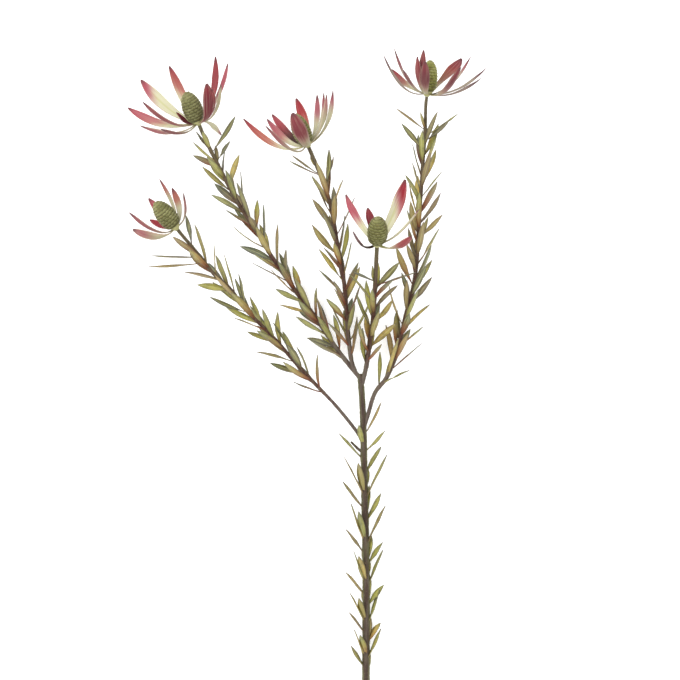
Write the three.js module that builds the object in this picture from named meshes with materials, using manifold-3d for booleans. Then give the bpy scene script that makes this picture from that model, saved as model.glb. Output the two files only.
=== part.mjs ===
import * as THREE from 'three';
import Module from 'manifold-3d';

// A cut stem of leucadendron that lies on the surface z = 0. Millimetres, +Z up.
// The stem runs along +Y from its cut end to its blooms, and the origin is under the middle of its box.
// It rests on three low points: the cut end, one bract of the left high bloom and one of the right bloom.

const wasm = await Module();
wasm.setup();

const UP = new THREE.Vector3(0, 0, 1);
const GOLDEN_ANGLE = THREE.MathUtils.degToRad(137.508);

// Pieces that touch are this far apart.
const seatGap = 0.3;

// Fusing leaves a few very short edges, which are closed up, and a few points that all but touch,
// which are drawn apart.
const shortEdge = 0.02;
const allButTouching = 0.006;
const drawnIn = 0.015;

// The straight stretch of a branch under its bloom.
const neckLength = 11;

// Every stem: its route, its radius at the start and at the end, the sides of its section, how far
// along it the leaves start, how far before its end they stop, and the step between two leaves. The
// last leaves, round the bloom's neck, are placed one by one. Each has the distance of its root below
// the bloom, its tip measured from the bloom's base, its width, and how far its face is turned up.
const stems = {
  main_stem: {
    route: [
      [65, -357.5, 3.9], [65, -335, 4.1], [65.2, -228, 8], [63.8, -151, 11.5], [61.8, -52, 17],
      [58.7, -1, 20],
    ],
    radii: [4.4, 3.5], sides: 8, leafStart: 43, leafStop: 62,
    collar: [
      [79, [-1.5, -56.2, 7], 7, 0], [86.7, [26.9, -62.6, -1], 6.4, 32], [68, [23, -30.6, -2], 5.6, 24],
    ],
  },
  branch_left_low: {
    bloom: 'left_low',
    route: [
      [62.2, -77, 15.6], [52.4, -61.6, 17], [31.9, -36.3, 20], [13.2, -16.5, 22], [-7.7, 5.5, 24],
      [-38.5, 40.7, 27], [-67.1, 69.3, 30], [-84, 92, 31], [-102.3, 108.9, 31.5], [-119, 130, 31.5],
      [-141.9, 157.3, 36],
    ],
    radii: [1.9, 1.9], sides: 6, leafStart: 72, leafStop: 54, leafStep: 5.8,
    collar: [
      [39, [-28.6, -28.2, 6], 4.6, -14], [38, [-5.5, -7.7, 9], 6.2, -50], [24, [8.3, 16.5, -4], 6, 50],
      [50, [18.7, 5.5, 10], 6.4, 10], [47, [-33, -40, -8], 5, 30],
    ],
  },
  branch_left_high: {
    bloom: 'left_high',
    route: [
      [59.2, -6.6, 19.5], [47.3, 7.7, 20], [29.7, 30.8, 20.5], [9.9, 60.5, 21.5], [-11, 88, 23],
      [-40.7, 130.9, 26], [-55.6, 156.2, 28], [-73.7, 183.2, 29.5], [-89.1, 211.8, 30.5], [-105, 243, 31],
      [-118.1, 272, 36],
    ],
    radii: [2.5, 2], sides: 6, leafStart: 16, leafStop: 48, leafStep: 5.6,
    collar: [
      [33, [39.5, 10.1, 6], 6.4, 60], [29, [3, -6.5, 4], 5.4, 0], [30, [-3.5, -6.5, -4], 5.4, 24],
      [45, [-6.7, -18.5, 4], 4.6, 0], [44, [33.7, -17.7, 8], 6, 55], [47, [17, -22, -8], 5.6, 30],
    ],
  },
  branch_middle: {
    bloom: 'middle',
    route: [
      [53.6, 0, 19.8], [48.4, 16.5, 23], [44, 57.2, 30], [41.8, 90.6, 33], [37.4, 119.9, 35],
      [33, 144.1, 36.5], [25.3, 186.5, 38], [13.2, 221.1, 38.5], [2, 247.5, 38.5],
    ],
    radii: [2.4, 2.1], sides: 6, leafStart: 14, leafStop: 54, leafStep: 5.6,
    collar: [
      [32, [-18, -8.8, 6], 5.4, 40], [33, [-21, -14.3, -4], 4.6, 16], [49, [21.9, -2.2, 6], 7.2, 60],
      [44, [27, -10, -6], 5, 20], [24, [2, -9, -5], 5, 0],
    ],
  },
  branch_front: {
    bloom: 'front',
    route: [
      [60, -14.3, 19.3], [64.9, 5.5, 25], [68.2, 27.5, 33], [72.3, 57.2, 44], [74.8, 99, 58.5],
      [76.5, 137.5, 70],
    ],
    radii: [2.6, 2.3], sides: 6, leafStart: 24, leafStop: 52, leafStep: 5.6,
    collar: [
      [48, [25, -16, -22], 6.8, 60], [40, [-25.9, -26.4, -10], 4.6, 20], [46, [-4.7, -20.3, -4], 6.2, 60],
      [45, [43, -27, -16], 4.8, 0],
    ],
  },
  branch_right: {
    bloom: 'right',
    route: [
      [61.9, -61.6, 16.5], [67.1, -46.2, 18.5], [74.8, -22, 21], [88, -4.4, 23], [99, 23.1, 25.5],
      [108.9, 64.9, 29], [116.6, 93.5, 31], [120.7, 123.2, 33], [123.2, 165, 35], [127.4, 233.2, 37],
      [129.8, 266.2, 38], [131.5, 303.1, 38],
    ],
    radii: [2.4, 1.8], sides: 6, leafStart: 50, leafStop: 52, leafStep: 5.7,
    collar: [
      [36, [-33.2, -12.7, 4], 4.8, -24], [35, [-6.8, -17, 6], 5.8, 20], [38, [9.9, -22.6, 8], 6, 50],
      [43, [34.1, -18.2, -4], 4.6, 20], [49, [24.6, -25.5, 4], 6, 50],
    ],
  },
};

// The leaves of the main stem stand in alike groups, one above the other, each taller and larger than
// the one below. A leaf of a group is its azimuth, with 90 facing up, its height as a share of the
// group's, its length, its lean and how far its inner face is turned up.
const leafGroup = {
  height: 39,
  heightGrowth: 4.2,
  size: 0.72,
  sizeGrowth: 0.066,
  places: [
    [60, 0, 39, 26, 0], [30, -0.04, 50, 26, 34], [2, -0.3, 39, 40, 16], [172, -0.1, 54, 25, 28],
    [186, 0.4, 37, 34, 26], [226, -0.45, 34, 13, 0], [255, 0.1, 28, 14, 0], [282, -0.55, 28, 10, 0],
  ],
  spread: { length: 1.5, lean: 3, twist: 5 },   // drawn within this much of what the place states
  draws: { width: [7.6, 8.6], leanChange: [-14, 2], azimuthScatter: 8, twistShare: [1, 1], twistBack: 0 },
};

// The clipped twig on the left of the main stem.
const twig = {
  route: [[62.4, -88, 15.2], [56.5, -84, 15.8], [48.4, -75.9, 17]],
  radii: [1.7, 1.2],
  sides: 6,
};

// Leaves: narrow blades on a slim root, the widest a little past the middle, folded along the midrib.
const leaf = {
  length: [34, 48],
  width: [5.8, 7.6],
  leanAtRoot: [24, 45],
  leanChange: [-28, 12],
  twist: [0, 80],
  twistShare: [0.15, 1],
  twistBack: 0.3,
  azimuthScatter: 24,
  thickness: 0.9,
  fold: 0.06,
  bow: 0.07,
  channelled: false,
  stations: [0, 0.3, 0.66],
  widths: [0.34, 0.88, 0.92],
};

// What a leaf that comes too near another stem's pieces tries, in turn: an azimuth further round and a
// shorter blade that leans less. A leaf that still has no room is left out.
const leafTries = [
  { azimuth: 0, length: 1, lean: 0 }, { azimuth: 25, length: 1, lean: -6 },
  { azimuth: -25, length: 1, lean: -6 },
  { azimuth: 0, length: 0.84, lean: -12 }, { azimuth: 50, length: 0.9, lean: -10 },
  { azimuth: -50, length: 0.9, lean: -10 }, { azimuth: 0, length: 0.68, lean: -18 },
];
const leafRoom = 0.5;

// Near the surface a leaf bends along it: below softHeight its midline is pressed up towards lowest.
const surface = { softHeight: 8, lowest: 2 };

// Bracts: channelled straps, the widest a little past the middle, with a sharp tip.
const bract = {
  rootRadius: 3.2,
  rootHeight: 3.0,
  thickness: 1.2,
  fold: 0.17,
  channelled: true,
  stations: [0, 0.16, 0.38, 0.64, 0.88],
  widths: [0.34, 0.4, 0.7, 1, 0.66],
  reachAtRoot: 0.4,
  reachAtTip: 0.3,
  straightness: 0.8,
};

// Receptacle: a small cup turned about the bloom's axis, as pairs of height and radius.
const receptacle = { profile: [[0.3, 2.3], [1.6, 3.2], [3.4, 5.0], [5.6, 6.0], [6.4, 5.6]], sides: 10 };

// Cone: an egg covered in scales, two families of spirals crossing, as relief. Below its widest place
// it narrows as an egg footFlare of its length tall would.
const cone = {
  foot: 6.7, length: 33, radius: 10.6, widestAt: 0.38, footFlare: 0.56,
  columns: 18, rows: 10, relief: 0.5, lift: 0.8,
};

// Every bloom: its axis, its bracts and, where its cone is slimmer than the others, the cone's girth
// as a share of theirs. A bract is its tip measured from the branch's end, its width, how steeply it
// leaves the receptacle, and how far its inner face is turned up. Two bracts reach down to the surface,
// and these also have how far they run outwards before they bend.
const blooms = {
  left_high: {
    axis: [-0.36, 0.88, 0.3],
    bracts: [
      [[-79, 20, -8], 9.2, 2, 48], [[-61.5, 25, 20], 6, 4, -50], [[-65, 51, -14], 12.5, 24, 44],
      [[-34.5, 67.3, -30], 9.4, -8, 10, 0.6], [[-65, -0.5, 8], 6.4, -22, -50], [[-40.5, -6, 42], 6, -20, -20],
      [[-25, 14, 6], 8, 4, 20], [[17.3, 76.2, -6], 7.6, 24, 40], [[9.7, 42.6, 52], 12, 6, -30],
      [[15, 37, 46], 8, 4, -30], [[30.7, 69, -10], 6.4, 16, 20], [[24.6, 42.6, 34], 5.6, -8, -20],
      [[23.5, -8.8, -31], 7, -16, 84],
    ],
  },
  left_low: {
    axis: [-0.6, 0.74, 0.3],
    bracts: [
      [[-20.9, 56.4, -14], 4.2, 22, 30], [[-6.6, 46.2, -6], 7, 14, 58], [[6.6, 39.9, 14], 5.2, 0, -24],
      [[-33.6, 35.8, -29], 8.6, 8, 0], [[-52.8, 18.9, 12], 5.6, 4, -60], [[-48.4, 0, 22], 9, -8, -70],
      [[-32.2, 12.1, -26], 7.2, 2, 10],
    ],
  },
  middle: {
    axis: [-0.4, 0.9, 0.2],
    girth: 0.92,
    bracts: [
      [[-71.9, 32.3, -10], 6.8, -8, 50], [[-46.8, 22.2, 36], 5.6, -30, -10], [[-40.8, 38.3, -29], 8.6, 4, 16],
      [[-46, 32.3, -18], 7.2, 0, 40], [[-17.6, 35, 50], 14.8, 2, 0], [[-14.3, 55.9, -28], 9.8, 14, 10],
      [[8.8, 58.9, -18], 7, 22, 20], [[19.4, 57.2, 12], 7, 20, -44], [[16.4, 61.4, -4], 5.6, 22, 10],
      [[26.4, 62.4, 4], 7, 6, 32],
    ],
  },
  front: {
    axis: [0.03, 0.78, 0.62],
    bracts: [
      [[-33.9, 57.6, -10], 9, 16, 60], [[-9.9, 43.8, -25], 9, 20, 0], [[30.9, 73.7, -6], 14, 20, 50],
      [[45.7, 41.3, 6], 5, 2, -24], [[36.9, 11, 34], 9, -10, -66], [[-25.9, 16.1, 34], 7, -14, -8],
    ],
  },
  right: {
    axis: [0.1, 0.99, 0.1],
    girth: 0.88,
    bracts: [
      [[-47.1, 45.1, 6], 5, -16, -24], [[-35.3, 54.2, -8], 4.8, 16, 10], [[-38, 31.8, -18], 8, 8, 36],
      [[-26.1, 28.2, 24], 5.4, 8, -12], [[-10.8, 42.2, 30], 7, 18, 0], [[-3.9, 49.5, 27], 8, 18, 0],
      [[-2.6, 36.4, 38], 9.8, 8, 0],
      [[39.6, 45.1, -38.3], 12, 38, 8, 0.6], [[35.7, 30.3, 34], 8.4, -16, -14], [[48.1, 44.1, 2], 5.4, 14, 20],
      [[66, 32.8, -6], 5, 2, 18], [[59.1, 20, 12], 5, -6, -24],
    ],
  },
};

// Colours of the pieces.
const green = 0x7f8a45;
const stemBrown = 0x5d4a44;
const crimson = 0xb4535a;
const coneGreen = 0x7d8050;

// A seeded draw between 0 and 1, so that each run places the leaves alike.
function seededDraw(seed) {
  let state = seed;
  return () => {
    state = (state * 16807) % 2147483647;
    return state / 2147483647;
  };
}

function mix(range, t) {
  return range[0] + (range[1] - range[0]) * t;
}

function around(middle, spread) {
  return [middle - spread, middle + spread];
}

function vector(point) {
  return new THREE.Vector3(point[0], point[1], point[2]);
}

// The part of a vector that is square to a unit direction, at unit length.
function squareTo(direction, v) {
  return v.clone().addScaledVector(direction, -v.dot(direction)).normalize();
}

// Whether a point lies outside the plane of three others, seen from where these run counter-clockwise.
function standsProud(a, b, c, point) {
  const outward = b.clone().sub(a).cross(c.clone().sub(a));
  return outward.dot(point.clone().sub(a)) > 1e-9;
}

// A closed solid through rings of points that run counter-clockwise about the way they travel. The
// last ring may be a single point. A cap is a fan from its ring's second point. A panel that isn't
// flat is split so that the fold stands out, which keeps a twisted blade's two faces apart. With
// diamonds, the splits of neighbouring panels meet, round every second point of a ring.
function loft(rings, diamonds = false) {
  const points = rings.flat();
  const triangles = [];
  const starts = [];
  let count = 0;
  for (const ring of rings) {
    starts.push(count);
    count += ring.length;
  }
  for (let k = 0; k + 1 < rings.length; k++) {
    const size = rings[k].length;
    const a = starts[k];
    const b = starts[k + 1];
    for (let i = 0; i < size; i++) {
      const j = (i + 1) % size;
      if (rings[k + 1].length === 1) {
        triangles.push(a + i, a + j, b);
        continue;
      }
      const [low, lowNext, high, highNext] = [points[a + i], points[a + j], points[b + i], points[b + j]];
      const turned = diamonds ? (i + k) % 2 === 0 : standsProud(low, lowNext, highNext, high);
      if (turned) {
        triangles.push(a + i, a + j, b + i, a + j, b + j, b + i);
      } else {
        triangles.push(a + i, a + j, b + j, a + i, b + j, b + i);
      }
    }
  }
  const capped = (ring, start, flip) => {
    for (let i = 1; i + 1 < ring.length; i++) {
      const corners = [start + 1, start + ((i + 1) % ring.length), start + ((i + 2) % ring.length)];
      triangles.push(...(flip ? corners.reverse() : corners));
    }
  };
  capped(rings[0], starts[0], true);
  capped(rings[rings.length - 1], starts[rings.length - 1], false);
  return new wasm.Manifold(new wasm.Mesh({
    numProp: 3,
    vertProperties: new Float32Array(points.flatMap((p) => [p.x, p.y, p.z])),
    triVerts: new Uint32Array(triangles),
  }));
}

// A stem's centreline as points at even steps of the curve, with the length run so far at each.
// A branch runs into its bloom along the bloom's axis.
function runRoute(stem) {
  const corners = stem.route.map(vector);
  if (stem.bloom) {
    const end = corners[corners.length - 1];
    const neck = end.clone().addScaledVector(vector(blooms[stem.bloom].axis).normalize(), -neckLength);
    corners.splice(corners.length - 1, 0, neck);
  }
  const curve = new THREE.CatmullRomCurve3(corners, false, 'catmullrom', 0.5);
  const points = curve.getPoints((corners.length - 1) * 8);
  const runs = [0];
  for (let k = 1; k < points.length; k++) {
    runs.push(runs[k - 1] + points[k].distanceTo(points[k - 1]));
  }
  const length = runs[runs.length - 1];
  const at = (s) => {
    let k = 1;
    while (k < points.length - 1 && runs[k] < s) {
      k++;
    }
    const t = (s - runs[k - 1]) / (runs[k] - runs[k - 1]);
    const along = points[k].clone().sub(points[k - 1]).normalize();
    const up = squareTo(along, UP);
    return {
      point: points[k - 1].clone().lerp(points[k], t),
      along,
      up,
      side: up.clone().cross(along),
      radius: mix(stem.radii, s / length),
    };
  };
  return { length, at };
}

function stemSolid(stem, extra = 0) {
  const route = runRoute(stem);
  const steps = Math.max(2, Math.round(route.length / 22));
  const rings = [];
  for (let k = 0; k <= steps; k++) {
    const place = route.at((route.length * k) / steps);
    const ring = [];
    for (let i = 0; i < stem.sides; i++) {
      const angle = ((i + 0.5) / stem.sides) * 2 * Math.PI;
      const radius = place.radius + extra;
      ring.push(place.point.clone()
        .addScaledVector(place.side, radius * Math.cos(angle))
        .addScaledVector(place.up, radius * Math.sin(angle)));
    }
    rings.push(ring);
  }
  return loft(rings);
}

// A blade round a midline: at each station its two edges and its keel, with a channelled blade's
// midrib between the edges, and a single point at the tip.
function bladeSolid(blade) {
  const { kind } = blade;
  const last = blade.midline.length - 1;
  const rings = [];
  for (let k = 0; k < last; k++) {
    const centre = blade.midline[k];
    const across = blade.across[k];
    const face = blade.along[k].clone().cross(across);
    const half = blade.halfWidths[k];
    const thick = kind.thickness * (k === last - 1 ? 0.35 : 0.5);
    const edge = (side) => centre.clone()
      .addScaledVector(across, side * half)
      .addScaledVector(face, kind.fold * 2 * half);
    const keel = centre.clone().addScaledVector(face, -thick);
    const midrib = centre.clone().addScaledVector(face, thick);
    rings.push(kind.channelled ? [edge(1), midrib, edge(-1), keel] : [edge(1), edge(-1), keel]);
  }
  rings.push([blade.midline[last]]);
  return loft(rings);
}

function directions(midline) {
  return midline.map((point, k) => {
    const before = midline[Math.max(0, k - 1)];
    const after = midline[Math.min(midline.length - 1, k + 1)];
    return after.clone().sub(before).normalize();
  });
}

function pressedUp(z) {
  const depth = surface.softHeight - surface.lowest;
  return z >= surface.softHeight ? z : surface.lowest + depth * Math.exp((z - surface.softHeight) / depth);
}

// A blade along a midline: its face turned about the midline by an angle for each station. Close to
// the surface the blade lies flatter.
function bladeAlong(midline, flatAcross, turnAt, width, kind) {
  const along = directions(midline);
  const across = along.map((direction, k) => {
    const base = squareTo(direction, flatAcross);
    const face = direction.clone().cross(base);
    const angle = turnAt([...kind.stations, 1][k]);
    const turned = base.multiplyScalar(Math.cos(angle)).addScaledVector(face, Math.sin(angle));
    turned.z *= Math.min(1, Math.max(0, (midline[k].z - 1) / width));
    return squareTo(direction, turned);
  });
  return { midline, along, across, kind, halfWidths: kind.widths.map((w) => (w * width) / 2) };
}

// How an angle grows along a blade: it is reached at the middle.
function reachedHalfway(angle) {
  return (t) => angle * Math.min(1, t * 2);
}

// The angle that turns a blade's face up by a number of degrees.
function turnedUp(flatAcross, degrees) {
  return THREE.MathUtils.degToRad(degrees) * (flatAcross.z > 0 ? -1 : 1);
}

// One leaf on a stem: an arc that leaves the stem at one lean and ends at another.
function arcLeaf(place, draws, change) {
  const azimuth = draws.azimuth + THREE.MathUtils.degToRad(change.azimuth);
  const outward = place.side.clone().multiplyScalar(Math.cos(azimuth))
    .addScaledVector(place.up, Math.sin(azimuth));
  const leanStart = THREE.MathUtils.degToRad(draws.leanAtRoot + change.lean);
  const leanChange = THREE.MathUtils.degToRad(draws.leanChange);
  const length = draws.length * change.length;
  const bend = Math.abs(leanChange) < 0.01 ? 0.01 : leanChange;
  const midline = [...leaf.stations, 1].map((t) => {
    const lean = leanStart + bend * t;
    const forward = (length * (Math.sin(lean) - Math.sin(leanStart))) / bend;
    const out = (length * (Math.cos(leanStart) - Math.cos(lean))) / bend;
    const point = place.point.clone()
      .addScaledVector(place.along, forward)
      .addScaledVector(outward, out + place.radius * 0.2);
    point.z = pressedUp(point.z);
    return point;
  });
  const flatAcross = place.along.clone().cross(outward);
  const turns = reachedHalfway(turnedUp(flatAcross, draws.twist));
  return bladeAlong(midline, flatAcross, turns, draws.width, leaf);
}

// One leaf of a bloom's neck, from the stem to a tip that is given.
function neckLeaf(place, tip, width, degrees) {
  const outward = squareTo(place.along, tip.clone().sub(place.point));
  const start = place.point.clone().addScaledVector(outward, place.radius * 0.2);
  const middle = start.clone().lerp(tip, 0.5).addScaledVector(outward, leaf.bow * start.distanceTo(tip));
  const curve = new THREE.QuadraticBezierCurve3(start, middle, tip);
  const midline = [...leaf.stations, 1].map((t) => curve.getPoint(t));
  const flatAcross = place.along.clone().cross(outward);
  return bladeAlong(midline, flatAcross, reachedHalfway(turnedUp(flatAcross, degrees)), width, leaf);
}

// One bract of a bloom: a curve in the plane of the bloom's axis and the bract's tip.
function bractBlade(base, axis, [offset, width, steepness, degrees, reach = bract.reachAtRoot]) {
  const tip = vector(offset);
  const outward = squareTo(axis, tip);
  const rise = THREE.MathUtils.degToRad(steepness);
  const end = base.clone().add(tip);
  const start = base.clone()
    .addScaledVector(axis, bract.rootHeight)
    .addScaledVector(outward, bract.rootRadius);
  const length = start.distanceTo(end);
  const first = start.clone()
    .addScaledVector(outward, Math.cos(rise) * reach * length)
    .addScaledVector(axis, Math.sin(rise) * reach * length);
  const finish = end.clone().sub(first).normalize().multiplyScalar(bract.straightness)
    .addScaledVector(axis, 1 - bract.straightness).normalize();
  const second = end.clone().addScaledVector(finish, -bract.reachAtTip * length);
  const curve = new THREE.CubicBezierCurve3(start, first, second, end);
  const midline = [...bract.stations, 1].map((t) => curve.getPoint(t));
  const flatAcross = axis.clone().cross(outward);
  return bladeAlong(midline, flatAcross, reachedHalfway(turnedUp(flatAcross, degrees)), width, bract);
}

// Rings about a bloom's axis, from pairs of height and radius. A shape for each point can move it out
// and up.
function turnedRings(base, axis, profile, sides, relief = () => [0, 0]) {
  const side = squareTo(axis, UP).cross(axis);
  const up = axis.clone().cross(side);
  return profile.map(([height, radius], k) => {
    const ring = [];
    for (let i = 0; i < sides; i++) {
      const angle = (i / sides) * 2 * Math.PI;
      const [out, lift] = relief(k, i);
      ring.push(base.clone()
        .addScaledVector(axis, height + lift)
        .addScaledVector(side, (radius + out) * Math.cos(angle))
        .addScaledVector(up, (radius + out) * Math.sin(angle)));
    }
    return ring;
  });
}

function coneProfile(girth) {
  const profile = [];
  for (let k = 0; k < cone.rows; k++) {
    const t = k / cone.rows;
    const egg = t < cone.widestAt ? cone.footFlare : 1 - cone.widestAt;
    const reach = (t - cone.widestAt) / egg;
    profile.push([cone.foot + cone.length * t, girth * cone.radius * Math.sqrt(1 - reach * reach)]);
  }
  return profile;
}

// The scales: every second point of a ring stands out and up, and the rings are staggered, so the
// points lie on spirals. The lowest ring stays flat, to sit on the receptacle.
function coneSolid(base, axis, girth) {
  const relief = (k, i) => {
    const standsOut = (i + k) % 2 === 0;
    if (k === 0) {
      return [0, 0];
    }
    return standsOut ? [cone.relief, cone.lift] : [-cone.relief, 0];
  };
  const rings = turnedRings(base, axis, coneProfile(girth), cone.columns, relief);
  rings.push([base.clone().addScaledVector(axis, cone.foot + cone.length)]);
  return loft(rings, true);
}

// Every piece that a leaf keeps clear of is a chain of straight pieces with a radius.
function bladeChain(blade, owner) {
  const chain = [];
  for (let k = 0; k + 1 < blade.midline.length; k++) {
    const radius = Math.max(blade.halfWidths[k], blade.halfWidths[k + 1] ?? 0);
    chain.push({ a: blade.midline[k], b: blade.midline[k + 1], radius, owner });
  }
  return chain;
}

function stemChain(stem, owner) {
  const route = runRoute(stem);
  const steps = Math.round(route.length / 10);
  const chain = [];
  for (let k = 0; k < steps; k++) {
    const from = route.at((route.length * k) / steps);
    const to = route.at((route.length * (k + 1)) / steps);
    chain.push({ a: from.point, b: to.point, radius: from.radius, owner });
  }
  return chain;
}

// The least distance between two straight pieces.
function distanceBetween(p, q) {
  const d1 = p.b.clone().sub(p.a);
  const d2 = q.b.clone().sub(q.a);
  const r = p.a.clone().sub(q.a);
  const a = d1.lengthSq();
  const e = d2.lengthSq();
  const b = d1.dot(d2);
  const c = d1.dot(r);
  const f = d2.dot(r);
  const spread = a * e - b * b;
  const clamp = (x) => Math.min(1, Math.max(0, x));
  let s = spread > 1e-9 ? clamp((b * f - c * e) / spread) : 0;
  const t = clamp((b * s + f) / e);
  s = clamp((b * t - c) / a);
  return p.a.clone().addScaledVector(d1, s).distanceTo(q.a.clone().addScaledVector(d2, t));
}

function hasRoom(blade, owner, taken) {
  const chain = bladeChain(blade, owner);
  return taken.every((other) => other.owner === owner
    || chain.every((piece) => distanceBetween(piece, other) > piece.radius + other.radius + leafRoom));
}

// Where the leaves of a stem stand: in alike groups, or on a spiral of golden angles.
function leafPlaces(stem, length) {
  const places = [];
  const end = length - stem.leafStop;
  if (stem.leafStep) {
    for (let s = stem.leafStart; s <= end; s += stem.leafStep) {
      places.push({ s, azimuth: places.length * GOLDEN_ANGLE, spans: leaf });
    }
    return places;
  }
  let { height, size } = leafGroup;
  let foot = stem.leafStart;
  while (foot <= end) {
    for (const [degrees, share, length, lean, twist] of leafGroup.places) {
      const spans = {
        ...leafGroup.draws,
        length: around(length * size, leafGroup.spread.length),
        leanAtRoot: around(lean, leafGroup.spread.lean),
        twist: around(twist, leafGroup.spread.twist),
      };
      places.push({ s: foot + share * height, azimuth: THREE.MathUtils.degToRad(degrees), spans });
    }
    foot += height;
    height += leafGroup.heightGrowth;
    size += leafGroup.sizeGrowth;
  }
  return places;
}

// The leaves of a stem, with seeded draws for their length, width, lean and twist.
function planLeaves(name, seed, taken) {
  const route = runRoute(stems[name]);
  const draw = seededDraw(seed);
  const blades = [];
  for (const [below, offset, width, degrees] of stems[name].collar ?? []) {
    const tip = vector(stems[name].route.at(-1)).add(vector(offset));
    blades.push(neckLeaf(route.at(route.length - below), tip, width, degrees));
  }
  for (const { s, azimuth, spans } of leafPlaces(stems[name], route.length)) {
    const place = route.at(s);
    const draws = {
      azimuth: azimuth + THREE.MathUtils.degToRad((draw() - 0.5) * spans.azimuthScatter),
      length: mix(spans.length, draw()),
      width: mix(spans.width, draw()),
      leanAtRoot: mix(spans.leanAtRoot, draw()),
      leanChange: mix(spans.leanChange, draw()),
      twist: mix(spans.twist, draw() ** 2) * (draw() < spans.twistBack ? -1 : 1),
    };
    draws.twist *= mix(spans.twistShare, Math.abs(Math.cos(draws.azimuth)));
    for (const change of leafTries) {
      const blade = arcLeaf(place, draws, change);
      if (hasRoom(blade, name, taken)) {
        blades.push(blade);
        break;
      }
    }
  }
  taken.push(...blades.flatMap((blade) => bladeChain(blade, name)));
  return blades;
}

// Where fusing seals a hollow or leaves a scrap, only the outer body is kept.
function outerBody(solid) {
  const bodies = solid.simplify(shortEdge).decompose();
  return bodies.reduce((best, body) => (body.volume() > best.volume() ? body : best));
}

// Points of one body that all but touch are each drawn a little way into the body, against their normals.
function drawApart(geometry) {
  const { position, normal } = geometry.attributes;
  const pointAt = (_, i) => new THREE.Vector3().fromBufferAttribute(position, i);
  const points = Array.from({ length: position.count }, pointAt);
  points.forEach((point, i) => {
    if (points.some((other, j) => j !== i && point.distanceTo(other) < allButTouching)) {
      const inward = new THREE.Vector3().fromBufferAttribute(normal, i).multiplyScalar(-drawnIn);
      position.setXYZ(i, point.x + inward.x, point.y + inward.y, point.z + inward.z);
    }
  });
}

function asMesh(name, solid, color, roughness) {
  const mesh = outerBody(solid).getMesh();
  const geometry = new THREE.BufferGeometry();
  geometry.setAttribute('position', new THREE.BufferAttribute(mesh.vertProperties, 3));
  geometry.setIndex(new THREE.BufferAttribute(mesh.triVerts, 1));
  geometry.computeVertexNormals();
  drawApart(geometry);
  const material = new THREE.MeshStandardMaterial({ color, roughness, metalness: 0 });
  const result = new THREE.Mesh(geometry, material);
  result.name = name;
  return result;
}

// The bloom that each branch carries stands where the branch ends.
function bloomPlace(name) {
  const route = stems[`branch_${name}`].route;
  return { base: vector(route[route.length - 1]), axis: vector(blooms[name].axis).normalize() };
}

const object = new THREE.Group();
const taken = [];

for (const name of Object.keys(stems)) {
  taken.push(...stemChain(stems[name], name));
}

for (const name of Object.keys(blooms)) {
  const { base, axis } = bloomPlace(name);
  const cup = loft(turnedRings(base, axis, receptacle.profile, receptacle.sides));
  const blades = blooms[name].bracts.map((spec) => bractBlade(base, axis, spec));
  for (const blade of blades) {
    taken.push(...bladeChain(blade, `bracts_${name}`));
  }
  taken.push({
    a: base.clone().addScaledVector(axis, cone.radius),
    b: base.clone().addScaledVector(axis, cone.foot + cone.length - cone.radius),
    radius: cone.radius + cone.relief,
    owner: `cone_${name}`,
  });
  const whorl = wasm.Manifold.union([cup, ...blades.map(bladeSolid)]).trimByPlane([0, 0, 1], 0);
  object.add(asMesh(`bracts_${name}`, whorl, crimson, 0.6));
  object.add(asMesh(`cone_${name}`, coneSolid(base, axis, blooms[name].girth ?? 1), coneGreen, 0.7));
}

// A branch is cut back round the stem that carries it, so that it seats on that stem's bark.
const carriers = {
  branch_left_low: ['main_stem'],
  branch_left_high: ['main_stem'],
  branch_middle: ['main_stem', 'branch_left_high'],
  branch_front: ['main_stem', 'branch_left_high', 'branch_middle'],
  branch_right: ['main_stem'],
};

let seed = 11;
for (const name of Object.keys(stems)) {
  const parts = [stemSolid(stems[name])];
  if (name === 'main_stem') {
    parts.push(stemSolid(twig));
  }
  for (const blade of planLeaves(name, seed, taken)) {
    parts.push(bladeSolid(blade));
  }
  let solid = wasm.Manifold.union(parts).trimByPlane([0, 0, 1], 0);
  for (const carrier of carriers[name] ?? []) {
    solid = solid.subtract(stemSolid(stems[carrier], seatGap));
  }
  object.add(asMesh(name, solid, name === 'main_stem' ? stemBrown : green, 0.65));
  seed += 12;
}

export default object;
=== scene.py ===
import math

import bpy
import numpy as np
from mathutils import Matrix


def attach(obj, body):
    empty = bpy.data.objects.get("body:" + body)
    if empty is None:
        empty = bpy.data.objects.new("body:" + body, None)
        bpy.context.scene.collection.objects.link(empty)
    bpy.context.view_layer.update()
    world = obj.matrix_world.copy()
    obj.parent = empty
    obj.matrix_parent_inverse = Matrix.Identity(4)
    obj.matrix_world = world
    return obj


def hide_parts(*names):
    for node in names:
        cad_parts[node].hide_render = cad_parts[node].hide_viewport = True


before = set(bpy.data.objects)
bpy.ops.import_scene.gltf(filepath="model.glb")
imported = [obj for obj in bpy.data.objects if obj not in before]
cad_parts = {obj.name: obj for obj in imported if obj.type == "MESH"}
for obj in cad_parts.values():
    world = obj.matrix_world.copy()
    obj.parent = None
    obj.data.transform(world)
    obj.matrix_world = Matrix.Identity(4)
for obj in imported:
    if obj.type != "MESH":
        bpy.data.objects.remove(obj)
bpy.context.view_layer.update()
mm = 0.001   # routes, tips and widths below are in millimetres

# The cut stem lies on the floor, so the camera looks straight down on it.

studio = {
    "cameraAt": (0.0363, 0.0363, 4.185), "lens": 200, "sensor": 36, "farthest": 50,
    "floorSize": 8, "floorColour": (0.92, 0.92, 0.92), "grain": 900.0, "grainShade": 0.985,
    "floorGlow": 0.26,   # as on a light table
    "domeStrength": 1.5,
    "keyAt": (-1.3, 1.5, 2.6), "keyAim": (0, 0.1, 0), "keySize": 1.4, "keyPower": 46,
    "dimming": 0.55,   # what the lights add to the colours below is taken from them
}


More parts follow.
